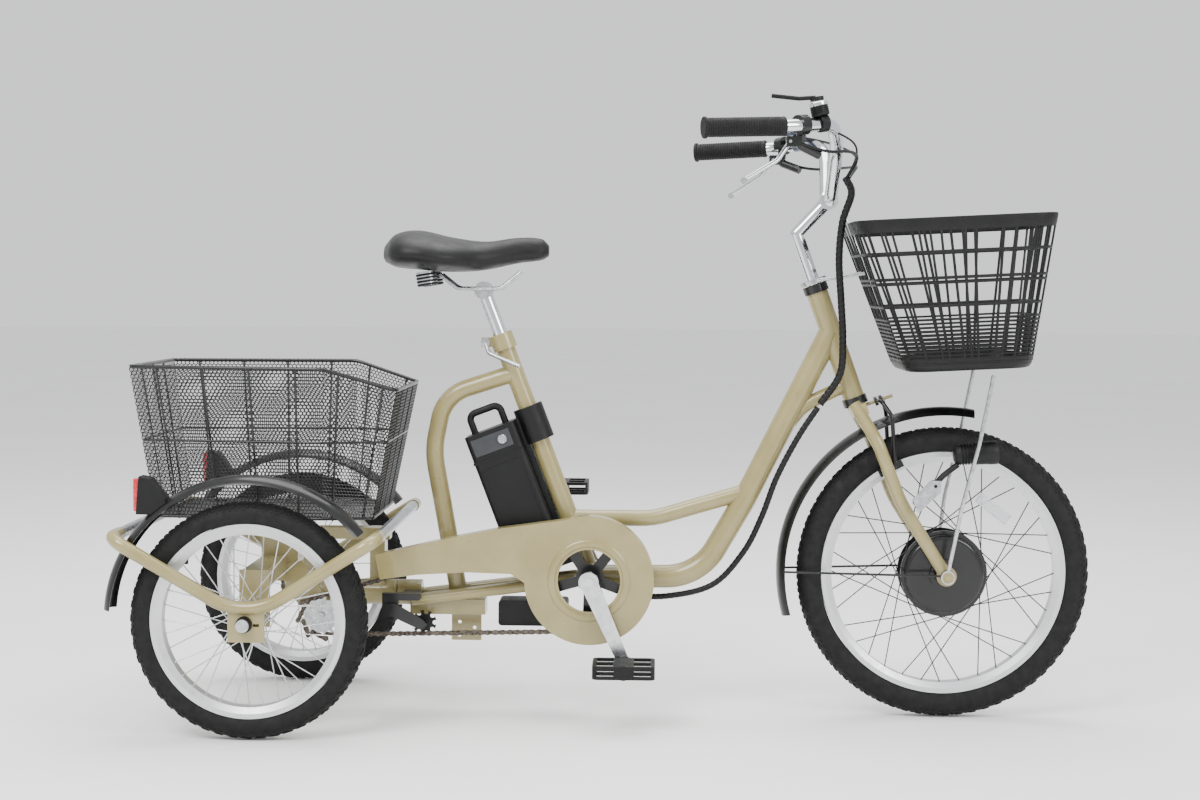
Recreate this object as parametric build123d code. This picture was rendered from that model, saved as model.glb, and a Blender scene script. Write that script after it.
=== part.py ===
from build123d import *
import os
from math import acos, atan2, cos, degrees, radians, sin, sqrt, tan

# An adult tricycle, in millimetres. X points forward, Y to the rider's left, Z up, and the ground is Z = 0.
# The origin is on the ground under the middle of the machine.

# Wheels and stance
front_axle_x = 569.0
rear_axle_x = -583.0
track_half = 245.0
front_tyre_r = 251.0
front_tyre_width = 49.0
front_rim_r = 209.0
rear_tyre_r = 194.0
rear_tyre_width = 44.0
rear_rim_r = 158.5
rim_depth = 18.0
rim_bed_depth = 7.0
rim_wall = 2.5
tyre_wall = 4.0
spoke_d = 2.0
spoke_count = 36
hub_motor_r = 68.0
hub_motor_width = 70.0
rear_hub_r = 24.0
rear_hub_width = 66.0
axle_d = 10.0
running_gap = 0.05
clear_gap = 0.5

# Steering
head_angle = 20.0
fork_rake = 44.0
head_top_z = 731.0
head_bottom_z = 552.0
head_tube_d = 37.0
head_tube_bore = 31.0
steerer_d = 25.4
cup_height = 14.0
cup_d = 43.0
blade_d = 22.0
crown_z = 531.0
stem_d = 22.2
stem_kink_z = 831.0
bar_clamp_x = 364.0
bar_clamp_z = 888.0
bar_d = 22.2
rim_track = 16.2
lever_x = 282.0
lever_y = 230.0
lever_z = 971.0
bar_half_width = 288.0
grip_d = 31.0
grip_length = 132.0

# Frame
tube_wall = 2.0
down_tube_d = 40.0
strut_d = 28.0
brace_d = 24.0
seat_tube_d = 33.0
seat_post_d = 25.4
seat_tube_angle = 21.0
seat_tube_top_z = 655.0
hoop_d = 31.0
stay_d = 20.0
bottom_bracket_x = -38.0
bottom_bracket_z = 240.0
bottom_bracket_d = 42.0
bottom_bracket_width = 70.0
spindle_d = 16.0

# Drive
chain_y = -45.0
chain_pitch = 12.7
ring_teeth = 46
sprocket_teeth = 16
chain_width = 7.0
chain_height = 8.0
tooth_rise = 2.6
tooth_room = 3.6
jackshaft_x = -500.0
jackshaft_z = 169.0
second_chain_y = 211.5
pulley_x = -322.0
pulley_z = 159.3
tensioner_x = -378.0
tensioner_z = 186.0
crank_length = 150.0
crank_lean = 24.0
crank_y = 100.0
case_r = 110.0
case_hole_r = 53.0
case_inner_y = -54.0
case_outer_y = -82.0
case_wall = 2.0

# Rear carriage
lean_z = 205.0
pivot_shaft_d = 24.0
pivot_shell_d = 44.0
guard_d = 22.0
guard_y = 283.0
guard_end_y = 225.0
guard_wall = 1.45
guard_bottom_z = 201.0
inner_plate_y = 199.0
jackshaft_d = 12.0
cross_d = 19.0
cross_front_x = -375.0
cross_rear_x = -800.0
cross_z = 330.0
axle_plate_thick = 5.0
pivot_boss_x = -372.0
pivot_end_x = -548.0
rear_fender_gap = 43.0
front_fender_gap = 35.0
fender_wall = 2.0

# Seat and battery
battery_depth = 91.0
battery_width = 80.0
battery_length = 252.0
battery_foot_z = 277.0
post_top_z = 728.0
post_foot_z = 480.0
pedal_pin_r = 5.0
pedal_width = 82.0
lug_z = 641.0
lug_half = 13.0
lug_out = 27.0
lug_bolt_r = 3.0

# Baskets
basket_wall = 3.0
smallest_solid = 50.0
front_basket_rim_z = 858.0
front_basket_floor_z = 604.0
rear_basket_rim_z = 604.0
rear_basket_floor_z = 345.0

# Saddle sections: how far ahead of the post's top, half width, lowest and highest Z
saddle_sections = [
    (-168.0, 46.0, 778.0, 802.0),
    (-150.0, 88.0, 764.0, 822.0),
    (-110.0, 106.0, 756.0, 829.0),
    (-55.0, 94.0, 754.0, 818.0),
    (0.0, 50.0, 756.0, 812.0),
    (60.0, 26.0, 768.0, 820.0),
    (100.0, 20.0, 776.0, 818.0),
    (112.0, 11.0, 786.0, 806.0),
]
leg_route = [(634.0, 104.0, 596.0), (612.0, 106.0, 480.0), (586.0, 98.0, 372.0), (front_axle_x + 1.0, 73.5, 264.4)]
steer_loom_route = [
    (386.0, -80.0, 922.0),
    (397.0, -66.0, 897.0),
    (384.0, -54.0, 850.0),
    (380.0, -45.0, 788.0),
    (385.0, -41.0, 716.0),
    (389.0, -38.0, 650.0),
    (385.0, -36.0, 592.0),
    (352.0, -33.0, 540.0),
]
steer_loom_bends = [20.0, 60.0, 140.0, 200.0, 260.0, 180.0]
steer_loom_d = 13.0
frame_loom_route = [
    (349.0, -32.8, 535.5),
    (316.0, -32.0, 484.0),
    (281.0, -28.0, 415.0),
    (256.0, -20.0, 345.0),
    (226.0, -8.0, 282.0),
    (174.0, 0.0, 224.0),
    (96.0, 0.0, 203.0),
    (20.0, 0.0, 203.0),
]
frame_loom_bends = [220.0, 200.0, 180.0, 140.0, 140.0, 140.0]
frame_loom_d = 11.0
seat_up = (-sin(radians(seat_tube_angle)), 0, cos(radians(seat_tube_angle)))
seat_back = (-cos(radians(seat_tube_angle)), 0, -sin(radians(seat_tube_angle)))
parts = {}


def pipe(points, bends, outer, wall=0.0):
    """A round tube along straight runs joined by arcs."""
    if len(points) == 2:
        path = Line(*points)
    else:
        path = FilletPolyline(*points, radius=bends)
    start = Plane(origin=path @ 0, z_dir=path % 0)
    section = start * Circle(outer / 2)
    if wall:
        section -= start * Circle(outer / 2 - wall)
    return sweep(section, path=path)


def rod(start, end, diameter):
    """A straight round bar between two points."""
    a, b = Vector(*start), Vector(*end)
    return extrude(Plane(origin=a, z_dir=(b - a)) * Circle(diameter / 2), (b - a).length)


def across(x, z, y_from, y_to, radius):
    """A round bar lying along Y."""
    return rod((x, y_from, z), (x, y_to, z), 2 * radius)


def slab(x_range, y_range, z_range):
    """A block between given limits."""
    size = [high - low for low, high in (x_range, y_range, z_range)]
    centre = [(high + low) / 2 for low, high in (x_range, y_range, z_range)]
    return Pos(*centre) * Box(*size)


def plate(outline, y_from, y_to):
    """A flat plate standing in the XZ plane, from an outline of x, z points."""
    low, high = min(y_from, y_to), max(y_from, y_to)
    face = make_face(Polyline(*[(x, high, z) for x, z in outline], close=True))
    return extrude(face, high - low, dir=(0, -1, 0))


def side_plane(y):
    """The XZ plane at a given Y, with its own x along X and its own y along Z."""
    return Plane(origin=(0, y, 0), x_dir=(1, 0, 0), z_dir=(0, -1, 0))


def mirror_y(shape):
    return mirror(shape, about=Plane.XZ)


def axis_x(z, ahead=0.0):
    """X of the steering axis at a height, moved ahead of it by a distance square to it."""
    lean = radians(head_angle)
    at_axle = front_axle_x - fork_rake / cos(lean)
    return at_axle - (z - front_tyre_r) * tan(lean) + ahead / cos(lean)


def axis_point(z, y=0.0, ahead=0.0):
    return (axis_x(z, ahead), y, z)


def seat_x(z, behind=0.0):
    """X of the seat tube's axis at a height, moved behind it by a distance square to it."""
    lean = radians(seat_tube_angle)
    return bottom_bracket_x - (z - bottom_bracket_z) * tan(lean) - behind / cos(lean)


def seat_point(z, y=0.0, behind=0.0):
    return (seat_x(z, behind), y, z)


def fused(*shapes):
    """One body from shapes that touch."""
    whole = shapes[0]
    for shape in shapes[1:]:
        whole = whole + shape
    return whole


def group(*shapes):
    """Separate solids that are kept in one node."""
    return Compound(children=[solid for shape in shapes for solid in shape.solids()])


# Frame


down_route = [
    (axis_x(664.0), 0, 664.0),
    (226.0, 0, 370.0),
    (150.0, 0, 238.0),
    (bottom_bracket_x, 0, bottom_bracket_z - 4.0),
]
down_bends = [330.0, 100.0]
strut_route = [seat_point(338.0), (70.0, 0, 338.0), (226.0, 0, 385.0)]
brace_route = [axis_point(575.0), (325.0, 0, 535.0), (270.0, 0, 462.0)]
hoop_route = [seat_point(588.0), (-293.0, 0, 548.0), (-312.0, 0, 452.0), (-267.0, 0, 205.0)]
stay_route = [(bottom_bracket_x - 8.0, 24.0, 236.0), (-150.0, 33.0, 222.0), (-345.0, 33.0, 196.0)]


def make_front_frame():
    head_core = rod(axis_point(head_bottom_z), axis_point(head_top_z), head_tube_d)
    head_bore = rod(axis_point(head_bottom_z - 5.0), axis_point(head_top_z + 5.0), head_tube_bore)
    seat_core = rod(seat_point(bottom_bracket_z), seat_point(seat_tube_top_z), seat_tube_d)
    down_core = pipe(down_route, down_bends, down_tube_d)
    parts["head_tube"] = head_core - head_bore
    parts["down_tube"] = pipe(down_route, down_bends, down_tube_d, tube_wall) - head_core - shell_core() - seat_core
    strut = pipe(strut_route, [150.0], strut_d) - seat_core - down_core
    brace = pipe(brace_route, [90.0], brace_d) - head_core - down_core
    parts["frame_struts"] = group(strut, brace)
    parts["headset_cups"] = group(make_cup(head_top_z, 1.0), make_cup(head_bottom_z, -1.0))


def make_cup(z, side):
    """A bearing cup outside one end of the head tube, open for the steerer."""
    end_z = z + side * cup_height * cos(radians(head_angle))
    cup = rod(axis_point(z), axis_point(end_z), cup_d)
    hole = rod(axis_point(z - 3.0 * side), axis_point(end_z + 3.0 * side), steerer_d + 2 * running_gap)
    return cup - hole


def shell_core():
    half = bottom_bracket_width / 2
    return across(bottom_bracket_x, bottom_bracket_z, -half, half, bottom_bracket_d / 2)


def stays_core():
    stay = pipe(stay_route, [200.0], stay_d)
    return fused(stay, mirror_y(stay))


def make_seat_frame():
    seat_top = seat_point(seat_tube_top_z)
    above = seat_point(seat_tube_top_z + 20.0)
    core = rod(seat_point(bottom_bracket_z), seat_top, seat_tube_d)
    collar = rod(seat_point(seat_tube_top_z - 26.0), seat_top, seat_tube_d + 9.0)
    lug = slab((seat_x(lug_z, 34.0), seat_x(lug_z, 15.0)), (-lug_half, lug_half), (lug_z - 8.0, lug_z + 8.0))
    bore = rod(seat_point(300.0), above, seat_post_d + 2 * running_gap)
    slot = slab((seat_x(lug_z, 45.0), seat_x(lug_z, 4.0)), (-1.5, 1.5), (606.0, seat_tube_top_z + 20.0))
    lug_bore = across(seat_x(lug_z, lug_out), lug_z, -20.0, 20.0, lug_bolt_r + running_gap)
    parts["seat_tube"] = fused(core, collar, lug) - bore - slot - lug_bore - shell_core()
    hoop = pipe(hoop_route, [70.0, 150.0], hoop_d, tube_wall) - core - collar
    beam = make_beam()
    parts["hoop_tube"] = hoop - beam - stays_core()
    half_bore = across(bottom_bracket_x, bottom_bracket_z, -60.0, 60.0, spindle_d / 2 + running_gap)
    parts["chain_stays"] = fused(shell_core(), stays_core()) - half_bore
    parts["pivot_beam"] = fused(beam, make_pivot_shaft()) - stays_core()


def make_beam():
    """The box under the chain stays and the drilled plate that hangs from it."""
    beam = slab((-349.0, -219.0), (-23.0, 23.0), (170.0, 196.0))
    drop = slab((-281.0, -229.0), (18.0, 23.0), (118.0, 172.0))
    for bolt_x, bolt_z in ((-267.0, 150.0), (-241.0, 140.0), (-268.0, 126.0)):
        drop -= across(bolt_x, bolt_z, 0.0, 40.0, 3.2)
    return beam + drop


def make_pivot_shaft():
    """The shaft that the rear carriage leans on, with its end cap."""
    boss = rod((pivot_boss_x, 0, lean_z), (-330.0, 0, lean_z), 44.0)
    shaft = rod((pivot_end_x, 0, lean_z), (-370.0, 0, lean_z), pivot_shaft_d)
    cap = rod((pivot_end_x - 6.0, 0, lean_z), (pivot_end_x, 0, lean_z), pivot_shaft_d + 12.0)
    return fused(boss, shaft, cap)


def make_chain_case():
    """A half shell over the upper chain: a round front with a hole and a tapering tail."""
    x, z = bottom_bracket_x, bottom_bracket_z
    tail = [(-30.0, z + case_r), (-192.0, 327.0), (-262.0, 313.0), (-402.0, 280.0)]
    tail += [(-394.0, 238.0), (-330.0, 247.0), (-246.0, 252.0), (-171.0, 250.0), (-148.0, 235.0), (-100.0, z)]
    outer = case_solid(tail, case_r, case_outer_y, case_inner_y, x, z)
    inner_tail = [(-30.0, z + case_r - 3.0), (-192.0, 324.0), (-262.0, 310.0), (-410.0, 275.0)]
    inner_tail += [(-402.0, 241.0), (-330.0, 250.0), (-246.0, 255.0), (-171.0, 253.0), (-148.0, 238.0), (-100.0, z)]
    inner = case_solid(inner_tail, case_r - case_wall, case_outer_y + case_wall, case_inner_y + 1.0, x, z)
    hole = across(x, z, case_outer_y - 1.0, case_inner_y + 2.0, case_hole_r)
    parts["chain_case"] = outer - inner - hole


def case_solid(tail, radius, y_from, y_to, x, z):
    return plate(tail, y_from, y_to) + across(x, z, y_from, y_to, radius)


def make_battery():
    """The battery stands on a rail behind the seat tube, parallel to it."""
    base = Plane(origin=seat_point(battery_foot_z, 0.0, seat_tube_d / 2), x_dir=seat_back, z_dir=seat_up)
    rail = base * Pos(5.5, 0, battery_length / 2) * Box(9.0, 30.0, battery_length)
    foot = base * Pos(48.0, 0, -6.0) * Box(94.0, 74.0, 11.0)
    collar = base * Pos(-seat_tube_d / 2, 0, battery_length - 18.0) * Cylinder(26.0, 62.0)
    seat_hole = rod(seat_point(250.0), seat_point(620.0), seat_tube_d)
    body_box = Pos(10.0 + clear_gap + battery_depth / 2, 0, battery_length / 2) * Box(
        battery_depth, battery_width, battery_length
    )
    body = base * fillet(body_box.edges().filter_by(Axis.Z), 9.0)
    front_room = base * Pos(10.0 + clear_gap + 50.0, 0, 150.0) * Box(100.0, 120.0, 500.0)
    parts["battery_mount"] = fused(rail, foot, collar - front_room) - seat_hole - shell_core()
    post = Pos(10.0 + clear_gap, 0, battery_length) 
    loop = [(18.0, 0, -6.0), (18.0, 0, 34.0), (74.0, 0, 34.0), (74.0, 0, -6.0)]
    handle = base * post * pipe(loop, [12.0, 12.0], 12.0) - body
    parts["battery"] = fused(body, handle)


def make_controller():
    box = slab((-196.0, -76.0), (-26.0, 26.0), (152.0, 196.0))
    parts["controller_box"] = fillet(box.edges().filter_by(Axis.Y), 6.0) - shell_core()


# Seat


def make_seat():
    post_top = seat_point(post_top_z)
    parts["seat_post"] = rod(seat_point(post_foot_z), post_top, seat_post_d) - rod(
        seat_point(post_foot_z - 5.0), seat_point(post_top_z - 12.0), seat_post_d - 2 * tube_wall
    )
    x = seat_x(post_top_z)
    clamp = across(x, post_top_z + 2.0, -22.0, 22.0, 15.0)
    rail_route = [(x - 74.0, 21.0, 757.0), (x - 44.0, 21.0, 733.0), (x + 30.0, 21.0, 733.0), (x + 64.0, 12.0, 762.0)]
    rail = pipe(rail_route, [22.0, 22.0], 7.0)
    springs = [rod((x - 92.0, side * 42.0, 738.0), (x - 96.0, side * 42.0, 762.0), 34.0) for side in (-1, 1)]
    bridge = across(x - 92.0, 748.0, -58.0, 58.0, 6.0)
    post_room = rod(seat_point(post_foot_z), post_top, seat_post_d)
    frame = fused(clamp, rail, mirror_y(rail)) - post_room
    parts["saddle_frame"] = group(frame - bridge, fused(bridge, *springs) - frame)
    parts["saddle"] = make_saddle(x)


def make_saddle(x):
    """The padded cover: a wide crowned back that narrows to a nose."""
    sections = []
    for ahead, half, low, high in saddle_sections:
        centre_z = (low + high) / 2
        plane = Plane(origin=(x + ahead, 0, centre_z), x_dir=(0, 1, 0), z_dir=(1, 0, 0))
        sections.append(plane * Ellipse(half, (high - low) / 2))
    body = loft(sections)
    under = loft([section.moved(Location((0, 0, -26.0))) for section in sections])
    return body - under


def make_seat_lever():
    """The bolt through the collar lug with its cap and swinging lever."""
    x = seat_x(lug_z, lug_out)
    bolt = across(x, lug_z, -lug_half - 8.0, lug_half + 8.0, lug_bolt_r)
    nut = across(x, lug_z, lug_half + clear_gap, lug_half + 7.0, 6.0)
    cap = across(x, lug_z, -lug_half - 12.0, -lug_half - clear_gap, 8.0)
    y = -lug_half - 8.0
    arm = pipe([(x, y, lug_z), (x + 6.0, y - 6.0, lug_z - 18.0), (x + 60.0, y - 22.0, lug_z - 40.0)], [8.0], 7.0)
    parts["seat_lever"] = fused(bolt, nut, cap, arm)


# Drive


def tooth_wheel(teeth, thick, bore_r, x, z, y):
    """A chain wheel: a disc with rounded gaps for the rollers."""
    pitch_r = chain_pitch / (2 * sin(radians(180.0 / teeth)))
    disc = across(x, z, y - thick / 2, y + thick / 2, pitch_r + tooth_rise)
    gap = across(x + pitch_r, z, y - thick, y + thick, 4.1)
    about = Axis((x, 0, z), (0, 1, 0))
    gaps = [gap.rotate(about, 360.0 * i / teeth) for i in range(teeth)]
    bore = across(x, z, y - thick, y + thick, bore_r)
    return disc - gaps - bore, pitch_r


def make_chain_ring():
    x, z = bottom_bracket_x, bottom_bracket_z
    ring, pitch_r = tooth_wheel(ring_teeth, 2.5, 72.0, x, z, chain_y)
    hub = across(x, z, chain_y - 6.0, chain_y + 2.0, 24.0)
    arms = []
    for i in range(5):
        arm = slab((x + 10.0, x + 78.0), (chain_y - 4.5, chain_y - 1.3), (z - 9.0, z + 9.0))
        arms.append(arm.rotate(Axis((x, 0, z), (0, 1, 0)), 72.0 * i + 20.0))
    bore = across(x, z, chain_y - 20.0, chain_y + 20.0, spindle_d / 2)
    parts["chain_ring"] = fused(ring, hub, *arms) - bore
    return pitch_r


def crank_tip(side):
    """The pedal end of a crank arm: side is -1 on the right, +1 on the left."""
    lean = radians(crank_lean)
    return (
        bottom_bracket_x - side * crank_length * sin(lean),
        bottom_bracket_z + side * crank_length * cos(lean),
    )


def crank_arm(side):
    x, z = bottom_bracket_x, bottom_bracket_z
    tip_x, tip_z = crank_tip(side)
    near, far = side * (crank_y - 12.0), side * (crank_y + 2.0)
    root = across(x, z, min(near, far), max(near, far), 17.0)
    tip = across(tip_x, tip_z, min(near, far), max(near, far), 13.0)
    length = sqrt((tip_x - x) ** 2 + (tip_z - z) ** 2)
    along = ((tip_x - x) / length, 0, (tip_z - z) / length)
    middle = Plane(origin=(x, side * (crank_y - 5.0), z), x_dir=(0, 1, 0), z_dir=along)
    blade = loft([middle * Rectangle(13.0, 30.0), middle.offset(length) * Rectangle(11.0, 20.0)])
    spindle_hole = across(tip_x, tip_z, -200.0, 200.0, pedal_pin_r + running_gap)
    return fused(root, tip, blade) - spindle_hole


def make_cranks():
    x, z = bottom_bracket_x, bottom_bracket_z
    axle = across(x, z, -crank_y + 11.0, crank_y - 11.0, spindle_d / 2)
    arms = [crank_arm(side) - across(x, z, -crank_y + 11.0, crank_y - 11.0, spindle_d / 2) for side in (-1, 1)]
    bolts = [across(x, z, crank_y + 2.0, crank_y + 5.0, 8.0), across(x, z, -crank_y - 5.0, -crank_y - 2.0, 8.0)]
    parts["crank_arms"] = group(axle, *arms, *bolts)


def make_pedal(side):
    """A cage pedal: an outer frame, a barrel on the pin, and cross ribs."""
    x, z = crank_tip(side)
    inner, outer = side * (crank_y + 6.0), side * (crank_y + 6.0 + pedal_width)
    low, high = min(inner, outer), max(inner, outer)
    cage = slab((x - 52.0, x + 52.0), (low, high), (z - 11.0, z + 11.0))
    cage = fillet(cage.edges().filter_by(Axis.Z), 10.0)
    mid = (low + high) / 2
    for window_x in (x - 31.0, x + 31.0):
        for window_y in (mid - 19.0, mid + 19.0):
            cage -= slab((window_x - 14.0, window_x + 14.0), (window_y - 14.0, window_y + 14.0), (z - 20.0, z + 20.0))
        cage -= slab((window_x - 16.0, window_x + 16.0), (low - 5.0, high + 5.0), (z - 6.0, z + 6.0))
    barrel = across(x, z, low, high, 12.0)
    pin = across(x, z, min(side * (crank_y - 12.0), inner), max(side * (crank_y - 12.0), inner), pedal_pin_r)
    return fused(cage, barrel, pin)


def make_pedals():
    parts["pedal_right"] = make_pedal(-1)
    parts["pedal_left"] = make_pedal(1)


def tangent_run(a, b, side):
    """Where a straight chain run touches two circles (x, z, r); side picks the upper or the lower run."""
    dx, dz = b[0] - a[0], b[1] - a[1]
    span = sqrt(dx * dx + dz * dz)
    lean = atan2(dz, dx)
    offset = acos((a[2] - b[2]) / span)
    angle = lean + side * offset
    first = (a[0] + a[2] * cos(angle), a[1] + a[2] * sin(angle))
    second = (b[0] + b[2] * cos(angle), b[1] + b[2] * sin(angle))
    return first, second, angle


def chain_loop(circles, y):
    """A closed chain as a channel that opens inwards, so that the teeth stand inside it."""
    half = chain_height / 2
    outer = loop_face([(x, z, r + half) for x, z, r in circles])
    middle = loop_face([(x, z, r + tooth_rise + 0.4) for x, z, r in circles])
    inner = loop_face([(x, z, r - half) for x, z, r in circles])
    band = extrude(side_plane(y) * (outer - inner), chain_width / 2, both=True)
    room = extrude(side_plane(y) * middle, tooth_room / 2, both=True)
    return band - room


def loop_face(circles):
    front, back = circles
    upper_a, upper_b, _ = tangent_run(front, back, -1)
    lower_a, lower_b, _ = tangent_run(front, back, 1)
    run = make_face(Polyline(upper_a, upper_b, lower_b, lower_a, close=True))
    return run + Pos(front[0], front[1]) * Circle(front[2]) + Pos(back[0], back[1]) * Circle(back[2])


def make_chains(ring_r, sprocket_r):
    front = (bottom_bracket_x, bottom_bracket_z, ring_r)
    middle = (jackshaft_x, jackshaft_z, sprocket_r)
    rear = (rear_axle_x, rear_tyre_r, sprocket_r)
    parts["drive_chain"] = chain_loop([front, middle], chain_y)
    parts["axle_chain"] = chain_loop([middle, rear], second_chain_y)


# Wheels


def ring_of(profile, x, z, y):
    """A solid of revolution about a wheel's axle, from a profile of (y offset, radius) shapes."""
    plane = Plane(origin=(x, y, z), x_dir=(0, 1, 0), z_dir=(1, 0, 0))
    return revolve(plane * profile, axis=Axis((x, y, z), (0, 1, 0)))


def make_tyre(radius, width, rim_r, x, y):
    """A tyre with its tread outside and a hollow chamber, seated on the rim's flanges."""
    centre = radius - width / 2
    casing = Pos(0, centre) * (Circle(width / 2) - Circle(width / 2 - tyre_wall))
    keep = Pos(0, rim_r + width) * Rectangle(2 * width, 2 * width)
    return ring_of(casing & keep, x, radius, y)


def rim_half(radius, width, rim_r):
    centre = radius - width / 2
    return sqrt((width / 2) ** 2 - (centre - rim_r) ** 2) - 1.0


def make_rim(radius, width, rim_r, x, y):
    half = rim_half(radius, width, rim_r)
    low = rim_r - rim_depth
    profile = make_face(
        Polyline(
            (-half, rim_r),
            (-half + rim_wall, rim_r),
            (-half + rim_wall, rim_r - rim_bed_depth),
            (half - rim_wall, rim_r - rim_bed_depth),
            (half - rim_wall, rim_r),
            (half, rim_r),
            (half, rim_r - 8.0),
            (half - 5.0, low),
            (-half + 5.0, low),
            (-half, rim_r - 8.0),
            close=True,
        )
    )
    return ring_of(profile, x, radius, y)


def make_spokes(hub_r, hub_half, rim_low, x, z, y):
    """Crossed spokes from both hub flanges to the rim."""
    about = Axis((x, 0, z), (0, 1, 0))
    spokes = []
    for i in range(spoke_count):
        side = 1 if i % 2 else -1
        swing = 1 if (i // 2) % 2 else -1
        at_hub = (x + (hub_r - 3.0) * cos(1.1), y + side * hub_half, z + swing * (hub_r - 3.0) * sin(1.1))
        spoke = rod(at_hub, (x + rim_low + 1.0, y + side * 2.0, z), spoke_d)
        spokes.append(spoke.rotate(about, 360.0 * i / spoke_count))
    limit = across(x, z, y - 60.0, y + 60.0, rim_low)
    return [spoke & limit for spoke in spokes]


def make_hub(hub_r, width, flange_half, rim_low, x, z, y):
    """A hub barrel with two flanges, laced with spokes, turning on its axle."""
    barrel = across(x, z, y - width / 2, y + width / 2, hub_r * 0.6)
    flanges = [
        across(x, z, y + side * flange_half - 1.5, y + side * flange_half + 1.5, hub_r) for side in (-1, 1)
    ]
    bore = across(x, z, y - width, y + width, axle_d / 2 + running_gap)
    spokes = make_spokes(hub_r, flange_half, rim_low, x, z, y)
    return fused(barrel, *flanges, *spokes) - bore


def make_front_wheel():
    x, z = front_axle_x, front_tyre_r
    parts["front_tyre"] = make_tyre(front_tyre_r, front_tyre_width, front_rim_r, x, 0.0)
    parts["front_rim"] = make_rim(front_tyre_r, front_tyre_width, front_rim_r, x, 0.0)
    half = hub_motor_width / 2
    rim_low = front_rim_r - rim_depth
    drum = fillet(across(x, z, -half, half, hub_motor_r).edges(), 8.0)
    neck = across(x, z, -half - 6.0, half + 6.0, 26.0)
    bore = across(x, z, -half - 20.0, half + 20.0, axle_d / 2 + running_gap)
    flanges = [across(x, z, side * 22.0 - 2.0, side * 22.0 + 2.0, hub_motor_r + 6.0) for side in (-1, 1)]
    spokes = make_spokes(hub_motor_r + 6.0, 22.0, rim_low, x, z, 0.0)
    parts["hub_motor"] = fused(drum, neck, *flanges, *spokes) - bore


def make_rear_wheels():
    x, z = rear_axle_x, rear_tyre_r
    for name, y in (("right", -track_half), ("left", track_half)):
        parts[name + "_tyre"] = make_tyre(rear_tyre_r, rear_tyre_width, rear_rim_r, x, y)
        parts[name + "_rim"] = make_rim(rear_tyre_r, rear_tyre_width, rear_rim_r, x, y)
        rim_low = rear_rim_r - rim_depth
        parts[name + "_hub"] = make_hub(rear_hub_r, rear_hub_width - 14.0, 20.0, rim_low, x, z, y)


def make_fender(radius, half, x, z, y, from_deg, to_deg):
    """A curved mudguard strip around a wheel, from one angle to another above the ground line ahead."""
    crown = 14.0
    bow = (half * half + crown * crown) / (2 * crown)
    outer = Pos(0, radius - bow) * (Circle(bow) - Circle(bow - fender_wall))
    keep = Pos(0, radius) * Rectangle(2 * half, 2 * crown)
    profile = outer & keep
    plane = Plane(origin=(x, y, z), x_dir=(0, 1, 0), z_dir=(1, 0, 0))
    strip = revolve(plane * profile, axis=Axis((x, y, z), (0, 1, 0)), revolution_arc=to_deg - from_deg)
    return strip.rotate(Axis((x, y, z), (0, 1, 0)), 90.0 - to_deg)


# Rear carriage


def make_carriage():
    x, z = rear_axle_x, rear_tyre_r
    shell = rod((pivot_end_x + 1.5, 0, lean_z), (pivot_boss_x - 1.5, 0, lean_z), pivot_shell_d)
    bore = rod((-700.0, 0, lean_z), (-300.0, 0, lean_z), pivot_shaft_d + 2 * running_gap)
    column = slab((x - 23.0, x + 40.0), (-30.0, 30.0), (226.0, 318.0))
    rail = slab((x - 23.0, -386.0), (-15.0, 15.0), (298.0, 318.0))
    post = slab((-420.0, -394.0), (-18.0, 18.0), (lean_z, 318.0))
    beam = slab((x - 20.0, x + 20.0), (-inner_plate_y, inner_plate_y), (240.0, 270.0))
    plates = []
    axle_hole = across(x, z, -300.0, 300.0, axle_d / 2)
    for side in (-1, 1):
        low, high = sorted((side * inner_plate_y, side * (inner_plate_y + axle_plate_thick)))
        plates.append(slab((x - 25.0, x + 25.0), (low, high), (z - 18.0, 270.0)))
    arms = [make_shaft_arm(-33.0, -28.0), make_shaft_arm(150.0, 155.0)]
    shaft_hole = across(jackshaft_x, jackshaft_z, -300.0, 300.0, jackshaft_d / 2 + running_gap)
    whole = fused(shell, column, rail, post, beam, *plates, *arms)
    parts["carriage_frame"] = whole - bore - axle_hole - shaft_hole


def make_shaft_arm(y_from, y_to):
    """A plate from the cross beam forward and down to the jackshaft."""
    x, z = jackshaft_x, jackshaft_z
    outline = [(-566.0, 256.0), (-560.0, 238.0), (x - 18.0, z - 14.0), (x + 16.0, z - 14.0), (x + 16.0, z + 14.0)]
    outline += [(-535.0, 262.0)]
    return plate(outline, y_from, y_to)


def guard_route(side):
    return [
        (cross_front_x, side * guard_end_y, cross_z),
        (cross_front_x, side * guard_y, cross_z),
        (rear_axle_x + 3.0, side * guard_y, guard_bottom_z),
        (cross_rear_x, side * guard_y, cross_z),
        (cross_rear_x, side * guard_end_y, cross_z),
    ]


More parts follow.
